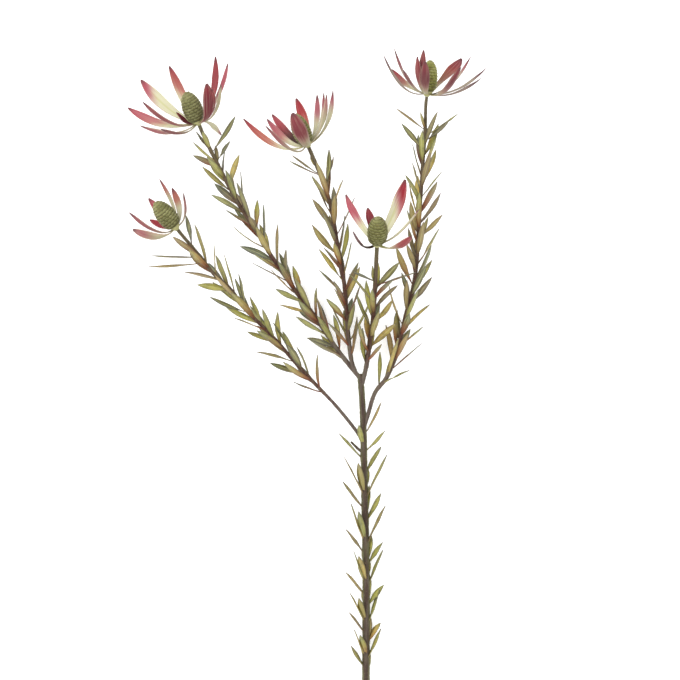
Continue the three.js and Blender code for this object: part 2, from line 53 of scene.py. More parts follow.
def toMode(mode):
    bpy.ops.object.mode_set(mode=mode)


def deselectAll():
    if bpy.context.object and bpy.context.object.mode != "OBJECT":
        toMode("OBJECT")
    bpy.ops.object.select_all(action="DESELECT")


# a new piece at the origin, and nothing else is selected
def added(operator, name, **settings):
    deselectAll()
    operator(location=(0, 0, 0), **settings)
    piece = bpy.context.object
    piece.name = name
    return piece


def makeStudio():
    deselectAll()
    bpy.ops.object.camera_add(location=studio["cameraAt"], rotation=(0, 0, 0))
    camera = bpy.context.object
    camera.data.lens = studio["lens"]
    camera.data.sensor_width = studio["sensor"]
    camera.data.clip_end = studio["farthest"]
    bpy.context.scene.camera = camera
    bpy.ops.object.light_add(type="AREA", location=studio["keyAt"])
    key = bpy.context.object
    key.data.size = studio["keySize"]
    key.data.energy = studio["keyPower"]
    # turned so that the panel's face points at the middle of the blooms
    x, y, z = (at - aim for at, aim in zip(studio["keyAt"], studio["keyAim"]))
    key.rotation_euler = (math.atan2(math.hypot(x, y), z), 0, math.atan2(y, x) + math.pi / 2)
    dome = bpy.data.worlds.new("dome")
    dome.use_nodes = True
    sky = dome.node_tree.nodes["Background"].inputs
    sky["Color"].default_value = (1, 1, 1, 1)
    sky["Strength"].default_value = studio["domeStrength"]
    bpy.context.scene.world = dome
    bpy.context.scene.view_settings.view_transform = "Standard"
    floor = added(bpy.ops.mesh.primitive_plane_add, "floor", size=studio["floorSize"])
    paper = Finish("whitePaper", {}, roughness=0.9, specular=0.4)
    grain = paper.add("TexNoise", {}, {"Scale": studio["grain"], "Detail": 3.0})
    low = tuple(c * studio["grainShade"] for c in studio["floorColour"])
    paper.feed("Base Color", paper.blend(grain, low, studio["floorColour"]))
    paper.feed("Emission Color", (1, 1, 1))
    paper.feed("Emission Strength", studio["floorGlow"])
    floor.data.materials.append(paper.material)


# Shader maths: a wire is a socket's output, and sums on wires add Math nodes.

class Wire:
    def __init__(self, finish, socket):
        self.finish = finish
        self.socket = socket

    def maths(self, operation, *values, clamp=False):
        settings = {"operation": operation, "use_clamp": clamp}
        return self.finish.add("Math", settings, dict(enumerate(values)))

    def __add__(self, other):
        return self.maths("ADD", self, other)

    def __radd__(self, other):
        return self.maths("ADD", other, self)

    def __sub__(self, other):
        return self.maths("SUBTRACT", self, other)

    def __rsub__(self, other):
        return self.maths("SUBTRACT", other, self)

    def __mul__(self, other):
        return self.maths("MULTIPLY", self, other)

    def __rmul__(self, other):
        return self.maths("MULTIPLY", other, self)

    def __truediv__(self, other):
        return self.maths("DIVIDE", self, other)

    def __rtruediv__(self, other):
        return self.maths("DIVIDE", other, self)

    def __abs__(self):
        return self.maths("ABSOLUTE", self)

    def clamped(self):
        return self.maths("ADD", self, 0.0, clamp=True)

    # 0 below the first value, 1 above the second, smooth between them
    def rising(self, start, end):
        return self.finish.add("MapRange", {"interpolation_type": "SMOOTHSTEP"},
                               {"Value": self, "From Min": start, "From Max": end})

    # the other way round: 1 below the first value and 0 above the second
    def falling(self, start, end):
        return 1 - self.rising(start, end)


# a colour as it is seen, in steps from 0 to 255, made linear for the shader
def paint(red, green, blue):
    linear = (((c / 255 + 0.055) / 1.055) ** 2.4 for c in (red, green, blue))
    return tuple(studio["dimming"] * c for c in linear)


class Finish:
    def __init__(self, name, colours, roughness, specular):
        self.colours = colours
        self.material = bpy.data.materials.new(name)
        self.material.use_nodes = True
        self.tree = self.material.node_tree
        self.shader = self.tree.nodes["Principled BSDF"]
        self.shader.inputs["Roughness"].default_value = roughness
        self.shader.inputs["Specular IOR Level"].default_value = specular

    # a node of any type: its settings first, then the values or wires of its sockets
    def add(self, kind, settings, inputs, output=0):
        node = self.tree.nodes.new("ShaderNode" + kind)
        for name, value in settings.items():
            setattr(node, name, value)
        for name, value in inputs.items():
            self.plug(node.inputs[name], value)
        return Wire(self, node.outputs[output])

    def plug(self, socket, value):
        if isinstance(value, Wire):
            self.tree.links.new(value.socket, socket)
        elif isinstance(value, tuple) and len(value) == 3 and socket.type == "RGBA":
            socket.default_value = (*value, 1)
        else:
            socket.default_value = value

    def feed(self, name, value):
        self.plug(self.shader.inputs[name], value)

    def relief(self, height, strength, distance):
        self.feed("Normal", self.add("Bump", {}, {
            "Height": height, "Strength": strength, "Distance": distance}))

    def tone(self, colour):
        return paint(*self.colours[colour]) if isinstance(colour, str) else colour

    # one colour over another, by a factor
    def blend(self, factor, first, second):
        return self.add("Mix", {"data_type": "RGBA"},
                        {0: factor, 6: self.tone(first), 7: self.tone(second)}, output=2)

    # colours laid over a first one, in turn: where each one shows, how strongly, and which it is
    def layered(self, colour, *layers):
        for where, strength, above in layers:
            colour = self.blend(where if strength == 1 else where * strength, colour, above)
        return colour

    def parts(self, kind, value):
        node = self.tree.nodes.new("ShaderNode" + kind)
        self.tree.links.new(value.socket, node.inputs[0])
        return [Wire(self, socket) for socket in node.outputs]

    # a piece's own map: across and along it, from 0 to 1
    def ownMap(self):
        return self.parts("SeparateXYZ", self.add("UVMap", {"uv_map": "UVMap"}, {}))[:2]

    # the four numbers that each point of a piece was given
    def given(self, layer="blade"):
        colour = self.add("Attribute", {"attribute_name": layer}, {}, output="Color")
        alpha = self.add("Attribute", {"attribute_name": layer}, {}, output="Alpha")
        return *self.parts("SeparateColor", colour), alpha

    # noise in the object's own place, stretched by a scale for each direction
    def cloud(self, scale, detail, stretch=(1, 1, 1)):
        place = self.add("TexCoord", {}, {}, output="Object")
        stretched = self.add("Mapping", {}, {"Vector": place, "Scale": stretch})
        return self.add("TexNoise", {}, {"Vector": stretched, "Scale": scale, "Detail": detail})

    # noise that runs along a blade in fine lines, on each blade from its own depth of the noise
    def streaks(self, across, along, seed, lines, run, detail=2.0, depth=40.0):
        spot = self.add("CombineXYZ", {}, {0: across * lines, 1: along * run, 2: seed * depth})
        return self.add("TexNoise", {}, {"Vector": spot, "Scale": 1.0, "Detail": detail})


leafColours = {
    "olive": (112, 116, 56), "grey": (118, 128, 106), "yellowGreen": (194, 190, 82),
    "ochre": (230, 194, 84), "deep": (84, 78, 46), "under": (156, 158, 124), "tan": (178, 146, 104),
    "root": (106, 48, 40), "tip": (96, 82, 80), "veinAndHighlight": (226, 224, 164), "edge": (88, 82, 72),
    "rust": (160, 80, 46), "wine": (116, 54, 54), "pale": (228, 220, 146),
}


# What each leaf was given: its hue, how flushed it is, its side, and how brown it is.
def leafFinish():
    leafy = Finish("leafSurface", leafColours, roughness=0.5, specular=0.3)
    across, along = leafy.ownMap()
    hue, flush, side, brown = leafy.given()
    lines = leafy.streaks(across, along, hue, lines=9.0, run=2.0)
    wash = leafy.streaks(across, along, hue + flush, lines=1.8, run=1.6)
    blotches = leafy.cloud(scale=160.0, detail=2.0)
    specks = leafy.cloud(scale=700.0, detail=2.0)
    hue = hue + (wash - 0.5) * 0.5
    middle = abs(across - 0.5)
    foot = along + (wash - 0.5) * 0.4
    leafy.feed("Base Color", leafy.layered(
        "grey",
        (hue.rising(0.1, 0.22), 1, "olive"),
        (hue.rising(0.34, 0.5), 1, "yellowGreen"),
        (hue.rising(0.76, 0.92), 1, "ochre"),
        (blotches.rising(0.48, 0.7), 0.5, "deep"),
        # pale washes and pale lines: partly the leaf's own colour, partly painted highlight
        (wash.rising(0.5, 0.66), 0.45, "pale"),
        (lines.rising(0.5, 0.75), 0.5, "veinAndHighlight"),
        (lines.falling(0.28, 0.46), 0.4, "deep"),
        ((along + (wash - 0.5) * 0.5).rising(0.5, 0.9), 0.5, "grey"),
        (1 - side, 0.32, "under"),
        (brown, 0.7, "tan"),
        (specks.rising(0.6, 0.68), 0.4, "edge"),
        (middle.falling(0.02, 0.08), 0.4, "veinAndHighlight"),
        (middle.rising(0.38, 0.48) * (1 - hue * 0.5), 0.85, "edge"),
        # rusty far up on the flushed leaves, dark and reddish at the root, and a dark point
        (flush.rising(0.2, 0.6) * foot.falling(0.15, 0.7), 0.85, "rust"),
        (flush.rising(0.85, 1.0), 0.5, "wine"),
        (foot.falling(0.04, 0.34), flush * 0.4 + 0.55, "root"),
        (along.rising(0.86, 0.98), 0.7, "tip"),
    ))
    leafy.feed("Roughness", 0.44 + blotches * 0.16)
    leafy.relief(lines * 0.6 + blotches * 0.4, strength=0.35, distance=0.0004)
    return leafy.material


barkColours = {
    "brown": (84, 66, 56), "bare": (112, 96, 88), "purple": (90, 42, 42), "grey": (124, 118, 104),
    "dark": (62, 46, 42), "green": (134, 137, 92), "young": (112, 98, 72), "scar": (158, 140, 106),
    "cut": (208, 196, 152),
}
# The green between a stem's upper and lower side is partly the bark's own colour and partly a
# painted side highlight.
barks = {   # from the foot to the head, and how green it is between its upper and its lower side
    "mainBark": {"foot": "brown", "middle": "brown", "head": "brown", "green": 0.85},
    "twigBark": {"foot": "bare", "middle": "purple", "head": "young", "green": 0.3},
}


# What each point of a stem was given: how far it faces up or down, how far along it is, how near
# a leaf's root, and whether it is cut wood.
def barkFinish(name):
    look = barks[name]
    bark = Finish(name, barkColours, roughness=0.66, specular=0.2)
    facing, run, scar, wood = bark.given()
    fibres = bark.cloud(scale=420.0, detail=4.0, stretch=(1, 0.1, 1))
    patches = bark.cloud(scale=70.0, detail=3.0, stretch=(1, 0.4, 1))
    specks = bark.cloud(scale=800.0, detail=2.0)
    edge = abs(facing - 0.5) + (patches - 0.5) * 0.5
    bark.feed("Base Color", bark.layered(
        look["foot"],
        (run.rising(0.1, 0.3), 1, look["middle"]),
        (run.rising(0.55, 1.0), 1, look["head"]),
        # green and lighter where the bark faces sideways: partly its own colour, partly a painted
        # side highlight
        (edge.falling(0.2, 0.5), look["green"], "green"),
        (fibres.rising(0.46, 0.66), 0.4, "grey"),
        (fibres.falling(0.34, 0.5), 0.5, "dark"),
        (specks.rising(0.6, 0.7), 0.35, "scar"),
        (scar, 0.35, "scar"),
        (wood, 1, "cut"),
    ))
    bark.feed("Roughness", 0.55 + fibres * 0.25)
    bark.relief(fibres * 0.7 + specks * 0.3, strength=0.6, distance=0.0008)
    return bark.material


bractColours = {
    "foot": (212, 210, 142), "cream": (244, 240, 202), "rib": (218, 218, 142),
    "pink": (216, 154, 160), "salmon": (216, 140, 112), "olive": (150, 112, 72),
    "rose": (200, 98, 112), "crimson": (178, 44, 58), "maroon": (112, 34, 46),
    # dark is the colour of the painted shade at a bract's foot
    "orange": (208, 84, 60), "tip": (106, 70, 76), "dark": (66, 44, 36),
    "underFoot": (206, 200, 158), "underRose": (172, 100, 106), "grey": (144, 120, 118),
    "margin": (232, 206, 180), "hair": (222, 206, 190), "sheen": (230, 176, 170),
}
redRise = {   # as shares of a bract's length: how long it takes to turn, and how uneven that is
    "toBetween": 0.16, "redLater": 0.08, "toRed": 0.14, "toWarmRed": 0.3,
    "washed": 0.16, "veined": 0.24,
}


# What each bract was given: where its red starts, how deep its red is, its side and how grey it
# is; then how warm its red is, how much sooner the red starts on one edge than on the other, and
# how much painted shade darkens its foot.
def bractFinish():
    petal = Finish("bractSurface", bractColours, roughness=0.48, specular=0.2)
    across, along = petal.ownMap()
    start, depth, side, grey = petal.given()
    warm, slant, paintedFootShade, _ = petal.given("tint")
    veins = petal.streaks(across, along, start + depth, lines=16.0, run=1.6, detail=4.0)
    wash = petal.streaks(across, along, depth - grey + warm, lines=4.0, run=2.6)
    middle = abs(across - 0.5)
    reach = along + (wash - 0.5) * redRise["washed"] + (veins - 0.5) * redRise["veined"]
    reach = reach + (across - 0.5) * slant - start
    toBetween = (reach / redRise["toBetween"]).clamped()
    length = redRise["toRed"] + warm * redRise["toWarmRed"]
    toRed = ((reach - redRise["redLater"]) / length).clamped()
    pale = petal.layered(
        "foot",
        (along.rising(0.02, 0.3), 1, "cream"),
        (middle.falling(0.03, 0.14), 0.5, "rib"),
    )
    between = petal.layered(
        "pink",
        (warm, 1, "salmon"),
        (depth.rising(0.35, 0.8), warm, "olive"),
    )
    red = petal.layered(
        "rose",
        (depth.rising(0.0, 0.5), 1, "crimson"),
        (depth.rising(0.45, 1.0), 1 - along.rising(0.5, 0.95) * 0.5, "maroon"),
        (warm.rising(0.4, 1.0) * along.falling(0.5, 0.8), 0.5, "orange"),
    )
    face = petal.layered(
        pale,
        (toBetween, 1, between),
        (toRed, 1, red),
        (veins.rising(0.5, 0.66) * (0.5 - depth * 0.2), toBetween, "sheen"),
        (veins.falling(0.3, 0.46) * 0.35, toRed, "maroon"),
    )
    # the backs are duller, with pale edges and pale lines
    edge = (middle + (wash - 0.5) * 0.2).rising(0.33, 0.43)
    back = petal.layered(
        "underFoot",
        (((reach + 0.05) / 0.3).clamped(), 1, "underRose"),
        (toRed, 0.5 + depth * 0.5, red),
        (edge * (1 - depth * 0.8), 0.8, "margin"),
        (veins.rising(0.48, 0.66), 0.66 - depth * 0.4, "margin"),
    )
    tip = along + (veins - 0.5) * 0.1 + grey * 0.25
    petal.feed("Base Color", petal.layered(
        back,
        (side, 1, face),
        (grey, 0.85, "grey"),
        # painted shade: the foot is darkened where the bracts around it would shade it
        (along.falling(0.34, 0.7), paintedFootShade, "dark"),
        (tip.rising(0.78, 0.95), 0.75, "tip"),
        (across.rising(1.1, 1.3), 1, "hair"),
    ))
    petal.feed("Roughness", 0.42 + veins * 0.2)
    petal.relief(veins, strength=0.5, distance=0.0006)
    return petal.material


# The gap colours are painted shade, where each scale's free edge would shade the base of the scale
# above it; the green gap colour also serves for dark mottling of the cone's own.
coneColours = {
    "gap": (100, 96, 58), "green": (128, 128, 76), "lime": (164, 166, 74), "light": (192, 190, 134),
    "rim": (204, 198, 146), "blush": (140, 96, 60), "brown": (122, 84, 62),
    "limeGapShade": (128, 128, 56),
}


# What each scale was given: its hue, its height on the cone, its side, and how lime its cone is.
def coneFinish():
    scaly = Finish("coneSurface", coneColours, roughness=0.6, specular=0.2)
    across, along = scaly.ownMap()
    chance, height, _, lime = scaly.given()
    lines = scaly.streaks(across, along, chance, lines=9.0, run=1.5)
    patches = scaly.cloud(scale=90.0, detail=2.0)
    flesh = scaly.layered(
        "green",
        (lime, 1, "lime"),
        (patches.rising(0.42, 0.66), 0.5, "light"),
        (patches.falling(0.36, 0.52), 0.35, "gap"),
        (lines.rising(0.45, 0.8), 0.3, "light"),
        (chance.rising(0.75, 1.0), 0.3, "blush"),
    )
    scaly.feed("Base Color", scaly.layered(
        # each scale's base is painted dark as painted shade under the free edge of the scale below,
        # and its flesh shows above that
        "gap",
        (lime, 1, "limeGapShade"),
        (along.rising(0.3, 0.62), 1, flesh),
        # a paler rim on each scale's free edge: partly its own colour, partly a painted highlight
        ((along + (lines - 0.5) * 0.3).rising(0.84, 1.0), 0.8, "rim"),
        (chance.rising(0.9, 0.95), along.rising(0.8, 0.95), "brown"),
        # painted light on the cone's upper end and painted shade at its foot
        (height.rising(0.6, 1.0), 0.3, "light"),
        (height.falling(0.0, 0.4), 0.3, "gap"),
    ))
    scaly.feed("Roughness", 0.5 + lines * 0.2)
    scaly.relief(lines, strength=0.3, distance=0.0004)
    return scaly.material


# Where everything grows: the same routes, tips and seeded draws as the solids.

stems = {
    "main_stem": {
        "route": [
            (65, -357.5, 3.9), (65, -335, 4.1), (65.2, -228, 8), (63.8, -151, 11.5),
            (61.8, -52, 17), (58.7, -1, 20),
        ],
        "radii": (4.4, 3.5), "leafStart": 43, "leafStop": 62,
        "collar": [
            (79, (-1.5, -56.2, 7), 7, 0), (86.7, (26.9, -62.6, -1), 6.4, 32),
            (68, (23, -30.6, -2), 5.6, 24),
        ],
    },
    "branch_left_low": {
        "bloom": "left_low",
        "route": [
            (62.2, -77, 15.6), (52.4, -61.6, 17), (31.9, -36.3, 20), (13.2, -16.5, 22),
            (-7.7, 5.5, 24), (-38.5, 40.7, 27), (-67.1, 69.3, 30), (-84, 92, 31),
            (-102.3, 108.9, 31.5), (-119, 130, 31.5), (-141.9, 157.3, 36),
        ],
        "radii": (1.9, 1.9), "leafStart": 72, "leafStop": 54, "leafStep": 5.8,
        "collar": [
            (39, (-28.6, -28.2, 6), 4.6, -14), (38, (-5.5, -7.7, 9), 6.2, -50),
            (24, (8.3, 16.5, -4), 6, 50), (50, (18.7, 5.5, 10), 6.4, 10),
            (47, (-33, -40, -8), 5, 30),
        ],
    },
    "branch_left_high": {
        "bloom": "left_high",
        "route": [
            (59.2, -6.6, 19.5), (47.3, 7.7, 20), (29.7, 30.8, 20.5), (9.9, 60.5, 21.5),
            (-11, 88, 23), (-40.7, 130.9, 26), (-55.6, 156.2, 28), (-73.7, 183.2, 29.5),
            (-89.1, 211.8, 30.5), (-105, 243, 31), (-118.1, 272, 36),
        ],
        "radii": (2.5, 2), "leafStart": 16, "leafStop": 48, "leafStep": 5.6,
        "collar": [
            (33, (39.5, 10.1, 6), 6.4, 60), (29, (3, -6.5, 4), 5.4, 0),
            (30, (-3.5, -6.5, -4), 5.4, 24), (45, (-6.7, -18.5, 4), 4.6, 0),
            (44, (33.7, -17.7, 8), 6, 55), (47, (17, -22, -8), 5.6, 30),
        ],
    },
    "branch_middle": {
        "bloom": "middle",
        "route": [
            (53.6, 0, 19.8), (48.4, 16.5, 23), (44, 57.2, 30), (41.8, 90.6, 33), (37.4, 119.9, 35),
            (33, 144.1, 36.5), (25.3, 186.5, 38), (13.2, 221.1, 38.5), (2, 247.5, 38.5),
        ],
        "radii": (2.4, 2.1), "leafStart": 14, "leafStop": 54, "leafStep": 5.6,
        "collar": [
            (32, (-18, -8.8, 6), 5.4, 40), (33, (-21, -14.3, -4), 4.6, 16),
            (49, (21.9, -2.2, 6), 7.2, 60), (44, (27, -10, -6), 5, 20), (24, (2, -9, -5), 5, 0),
        ],
    },
    "branch_front": {
        "bloom": "front",
        "route": [
            (60, -14.3, 19.3), (64.9, 5.5, 25), (68.2, 27.5, 33), (72.3, 57.2, 44),
            (74.8, 99, 58.5), (76.5, 137.5, 70),
        ],
        "radii": (2.6, 2.3), "leafStart": 24, "leafStop": 52, "leafStep": 5.6,
        "collar": [
            (48, (25, -16, -22), 6.8, 60), (40, (-25.9, -26.4, -10), 4.6, 20),
            (46, (-4.7, -20.3, -4), 6.2, 60), (45, (43, -27, -16), 4.8, 0),
        ],
    },
    "branch_right": {
        "bloom": "right",
        "route": [
            (61.9, -61.6, 16.5), (67.1, -46.2, 18.5), (74.8, -22, 21), (88, -4.4, 23),
            (99, 23.1, 25.5), (108.9, 64.9, 29), (116.6, 93.5, 31), (120.7, 123.2, 33),
            (123.2, 165, 35), (127.4, 233.2, 37), (129.8, 266.2, 38), (131.5, 303.1, 38),
        ],
        "radii": (2.4, 1.8), "leafStart": 50, "leafStop": 52, "leafStep": 5.7,
        "collar": [
            (36, (-33.2, -12.7, 4), 4.8, -24), (35, (-6.8, -17, 6), 5.8, 20),
            (38, (9.9, -22.6, 8), 6, 50), (43, (34.1, -18.2, -4), 4.6, 20),
            (49, (24.6, -25.5, 4), 6, 50),
        ],
    },
}

# The main stem's leaves stand in alike groups, each taller and larger than the one below:
# azimuth, with 90 facing up, height as a share of the group's, length, lean, and how far the
# inner face is turned up.
leafGroup = {
    "height": 39, "heightGrowth": 4.2, "size": 0.72, "sizeGrowth": 0.066,
    "places": [
        (60, 0, 39, 26, 0), (30, -0.04, 50, 26, 34), (2, -0.3, 39, 40, 16),
        (172, -0.1, 54, 25, 28), (186, 0.4, 37, 34, 26), (226, -0.45, 34, 13, 0),
        (255, 0.1, 28, 14, 0), (282, -0.55, 28, 10, 0),
    ],
    "lengthSpread": 1.5, "leanSpread": 3, "twistSpread": 5,
    "draws": {"width": (7.6, 8.6), "leanChange": (-14, 2), "azimuthScatter": 8,
              "twistShare": (1, 1), "twistBack": 0},
}
twig = {"route": [(62.4, -88, 15.2), (56.5, -84, 15.8), (48.4, -75.9, 17)], "radii": (1.7, 1.2)}

# A pair is a range that each leaf draws from. A coarse blade stands for it where it has to keep
# clear of others: a try turns it, shortens it and lessens its lean, until it has room.
leaf = {
    "length": (34, 48), "width": (5.8, 7.6), "leanAtRoot": (24, 45), "leanChange": (-28, 12),
    "twist": (0, 80), "twistShare": (0.15, 1), "twistBack": 0.3, "azimuthScatter": 24,
    "bow": 0.07, "leastBend": 0.01, "rootShare": 0.2,
    "coarse": [0, 0.3, 0.66, 1], "coarseWidths": [0.34, 0.88, 0.92],
    "room": 0.5, "softHeight": 8, "lowest": 2,
    "tries": [(0, 1, 0), (25, 1, -6), (-25, 1, -6), (0, 0.84, -12), (50, 0.9, -10),
              (-50, 0.9, -10), (0, 0.68, -18)],
}

bract = {
    "rootRadius": 3.2, "rootHeight": 3.0, "reachAtRoot": 0.4, "reachAtTip": 0.3,
    "straightness": 0.8,
    "coarse": [0, 0.16, 0.38, 0.64, 0.88, 1], "coarseWidths": [0.34, 0.4, 0.7, 1, 0.66],
}

cone = {
    "foot": 6.7, "length": 33, "radius": 10.6, "widestAt": 0.38, "footFlare": 0.56, "relief": 0.5,
}

# A bloom has its axis, its cone's girth and how lime its cone is. A bract has its tip from the
# bloom's base, width, steepness, turn, its colours (where the red starts, how deep, grey and warm
# it is, its slant, and how much painted shade darkens its foot), and for two of them how far they
# run out before they bend.
blooms = {
    "left_high": {"axis": (-0.36, 0.88, 0.3), "girth": 1, "lime": 0, "bracts": [
        ((-79, 20, -8), 9.2, 2, 48, (0.34, 0.1, 0, 0.5, -0.1, 0)),
        ((-61.5, 25, 20), 6, 4, -50, (0.1, 0.75, 0.25, 0.5, 0, 0)),
        ((-65, 51, -14), 12.5, 24, 44, (0.54, 0.12, 0, 0.1, 0.24, 0)),
        ((-34.5, 67.3, -30), 9.4, -8, 10, (0.42, 0.35, 0, 0.7, -0.2, 0), 0.6),
        ((-65, -0.5, 8), 6.4, -22, -50, (0.3, 0.2, 0.3, 0.2, 0, 0)),
        ((-40.5, -6, 42), 6, -20, -20, (0.3, 0.8, 0.4, 0, 0, 0.2)),
        ((-25, 14, 6), 8, 4, 20, (0, 0.9, 0, 0, 0, 0)),
        ((17.3, 76.2, -6), 7.6, 24, 40, (0.05, 0.6, 0.18, 0.3, 0, 0)),
        ((9.7, 42.6, 52), 12, 6, -30, (0.02, 0.9, 0, 0.1, 0, 0)),
        ((15, 37, 46), 8, 4, -30, (0.05, 0.85, 0, 0.1, 0, 0)),
        ((30.7, 69, -10), 6.4, 16, 20, (0.3, 0.05, 0.08, 0, 0, 0)),
        ((24.6, 42.6, 34), 5.6, -8, -20, (0.85, 0, 0.15, 0, 0, 0)),
        ((23.5, -8.8, -31), 7, -16, 84, (0.65, 0.1, 0.2, 0, 0, 0)),
    ]},
    "left_low": {"axis": (-0.6, 0.74, 0.3), "girth": 1, "lime": 0.1, "bracts": [
        ((-20.9, 56.4, -14), 4.2, 22, 30, (0.5, 0.35, 0.25, 0.7, 0, 0)),
        ((-6.6, 46.2, -6), 7, 14, 58, (0.4, 0.42, 0.28, 1, 0, 0)),
        ((6.6, 39.9, 14), 5.2, 0, -24, (0.3, 0.4, 0.6, 0, 0, 0)),
        ((-33.6, 35.8, -29), 8.6, 8, 0, (0.12, 0.2, 0.1, 0.1, 0, 0)),
        ((-52.8, 18.9, 12), 5.6, 4, -60, (0.2, 0.3, 0.4, 0.1, 0, 0)),
        ((-48.4, 0, 22), 9, -8, -70, (0.4, 0, 0.15, 0.5, 0, 0)),
        ((-32.2, 12.1, -26), 7.2, 2, 10, (0, 0.6, 0, 0, 0, 0)),
    ]},
    "middle": {"axis": (-0.4, 0.9, 0.2), "girth": 0.92, "lime": 0.4, "bracts": [
        ((-71.9, 32.3, -10), 6.8, -8, 50, (0.32, 0.35, 0.04, 0.9, 0, 0)),
        ((-46.8, 22.2, 36), 5.6, -30, -10, (0.35, 0.5, 0.4, 0.2, 0, 0)),
        ((-40.8, 38.3, -29), 8.6, 4, 16, (0.1, 0.25, 0, 0.6, 0, 0.95)),
        ((-46, 32.3, -18), 7.2, 0, 40, (0.34, 0, 0.1, 0.5, 0, 0)),
        ((-17.6, 35, 50), 14.8, 2, 0, (0.24, 0.82, 0.14, 0, 0, 0)),
        ((-14.3, 55.9, -28), 9.8, 14, 10, (0.15, 0.45, 0, 0.8, 0, 0)),
        ((8.8, 58.9, -18), 7, 22, 20, (0.38, 0, 0.25, 0.1, 0, 0)),
        ((19.4, 57.2, 12), 7, 20, -44, (0.5, 0, 0.15, 0, 0, 0)),
        ((16.4, 61.4, -4), 5.6, 22, 10, (0.5, 0.2, 0.3, 0, 0, 0)),
        ((26.4, 62.4, 4), 7, 6, 32, (0.55, 0, 0.3, 0, 0, 0)),
    ]},
    "front": {"axis": (0.03, 0.78, 0.62), "girth": 1, "lime": 0.25, "bracts": [
        ((-33.9, 57.6, -10), 9, 16, 60, (0.32, 0.08, 0, 0.1, 0, 0)),
        ((-9.9, 43.8, -25), 9, 20, 0, (0.1, 0.8, 0, 0, 0, 0.5)),
        ((30.9, 73.7, -6), 14, 20, 50, (0.44, 0.52, 0, 0.1, -0.24, 0)),
        ((45.7, 41.3, 6), 5, 2, -24, (0.7, 0, 0.2, 0, 0, 0)),
        ((36.9, 11, 34), 9, -10, -66, (0.28, 0.62, 0.05, 0, 0, 0)),
        ((-25.9, 16.1, 34), 7, -14, -8, (0.2, 1, 0.7, 0, 0, 0.95)),
    ]},
    "right": {"axis": (0.1, 0.99, 0.1), "girth": 0.88, "lime": 1, "bracts": [
        ((-47.1, 45.1, 6), 5, -16, -24, (0.75, 0.3, 0.9, 0, 0, 0)),
        ((-35.3, 54.2, -8), 4.8, 16, 10, (0.4, 0.1, 0.55, 0, 0, 0)),
        ((-38, 31.8, -18), 8, 8, 36, (0.34, 0.6, 0.05, 0.6, 0, 0)),
        ((-26.1, 28.2, 24), 5.4, 8, -12, (0.3, 0.9, 0.4, 0, 0, 0)),
        ((-10.8, 42.2, 30), 7, 18, 0, (0.2, 0.75, 0.12, 0.1, 0, 0)),
        ((-3.9, 49.5, 27), 8, 18, 0, (0.2, 0.85, 0.1, 0, 0, 0)),
        ((-2.6, 36.4, 38), 9.8, 8, 0, (0.2, 1, 0.15, 0, 0, 0)),
        ((39.6, 45.1, -38.3), 12, 38, 8, (0.12, 0.92, 0.1, 0.8, 0, 0.1), 0.6),
        ((35.7, 30.3, 34), 8.4, -16, -14, (0.25, 0.95, 0.15, 0.3, 0, 0)),
        ((48.1, 44.1, 2), 5.4, 14, 20, (0.5, 0.2, 0.4, 0, 0, 0)),
        ((66, 32.8, -6), 5, 2, 18, (0.6, 0.2, 0.8, 0, 0, 0)),
        ((59.1, 20, 12), 5, -6, -24, (0.75, 0.3, 0.95, 0, 0, 0)),
    ]},
}

neckLength = 11   # a branch runs straight for so long below its bloom
goldenAngle = math.radians(137.508)
routeSteps = 8   # from corner to corner of a route
chainStep = 10   # how long the straight pieces are that stand for a stem


def vec(point):
    return np.array(point, float)


def unit(v):
    return v / math.sqrt(v @ v)


def squareTo(direction, v):
    return unit(v - direction * (v @ direction))


def mixed(span, t):
    return span[0] + (span[1] - span[0]) * t


def around(middle, spread):
    return middle - spread, middle + spread


# how far along a run of points each of them is
def runsOf(points):
    return np.concatenate([[0], np.cumsum(np.linalg.norm(np.diff(points, axis=0), axis=1))])


# numbers from 0 to 1, the same ones each time for the same seed
def seededDraw(seed):
    state = [seed]
    factor, modulus = 16807, 2147483647

    def draw():
        state[0] = state[0] * factor % modulus
        return state[0] / modulus
    return draw


# a smooth run through the corners of a route
class Route:
    def __init__(self, stem):
        corners = [vec(p) for p in stem["route"]]
        if "bloom" in stem:
            axis = unit(vec(blooms[stem["bloom"]]["axis"]))
            corners.insert(-1, corners[-1] - axis * neckLength)
        ends = [2 * corners[0] - corners[1], *corners, 2 * corners[-1] - corners[-2]]
        points = []
        for k in range(len(corners) - 1):
            p0, p1, p2, p3 = ends[k:k + 4]
            m1, m2 = (p2 - p0) / 2, (p3 - p1) / 2
            for step in range(routeSteps):
                t = step / routeSteps
                points.append(p1 + m1 * t + (3 * (p2 - p1) - 2 * m1 - m2) * t * t
                              + (2 * (p1 - p2) + m1 + m2) * t ** 3)
        self.points = np.array([*points, corners[-1]])
        self.runs = runsOf(self.points)
        self.length = self.runs[-1]
        self.radii = stem["radii"]

    def at(self, s):
        k = int(np.clip(np.searchsorted(self.runs, s), 1, len(self.points) - 1))
        start, end = self.points[k - 1], self.points[k]
        t = (s - self.runs[k - 1]) / (self.runs[k] - self.runs[k - 1])
        along = unit(end - start)
        up = squareTo(along, vec((0, 0, 1)))
        return {"point": start + (end - start) * t, "along": along, "up": up,
                "side": np.cross(up, along), "radius": mixed(self.radii, s / self.length)}


# a leaf that would reach the floor bends up before it does
def pressedUp(z):
    depth = leaf["softHeight"] - leaf["lowest"]
    below = min(0, z - leaf["softHeight"])
    return z if below == 0 else leaf["lowest"] + depth * math.exp(below / depth)


# a leaf or a bract, turned about its own length so that its inner face looks towards +Z
def bladeOf(kind, midline, flatAcross, width, degrees):
    turn = math.radians(degrees) * (-1 if flatAcross[2] > 0 else 1)
    return {"kind": kind, "place": midline, "flatAcross": flatAcross, "width": width,
            "turn": turn}


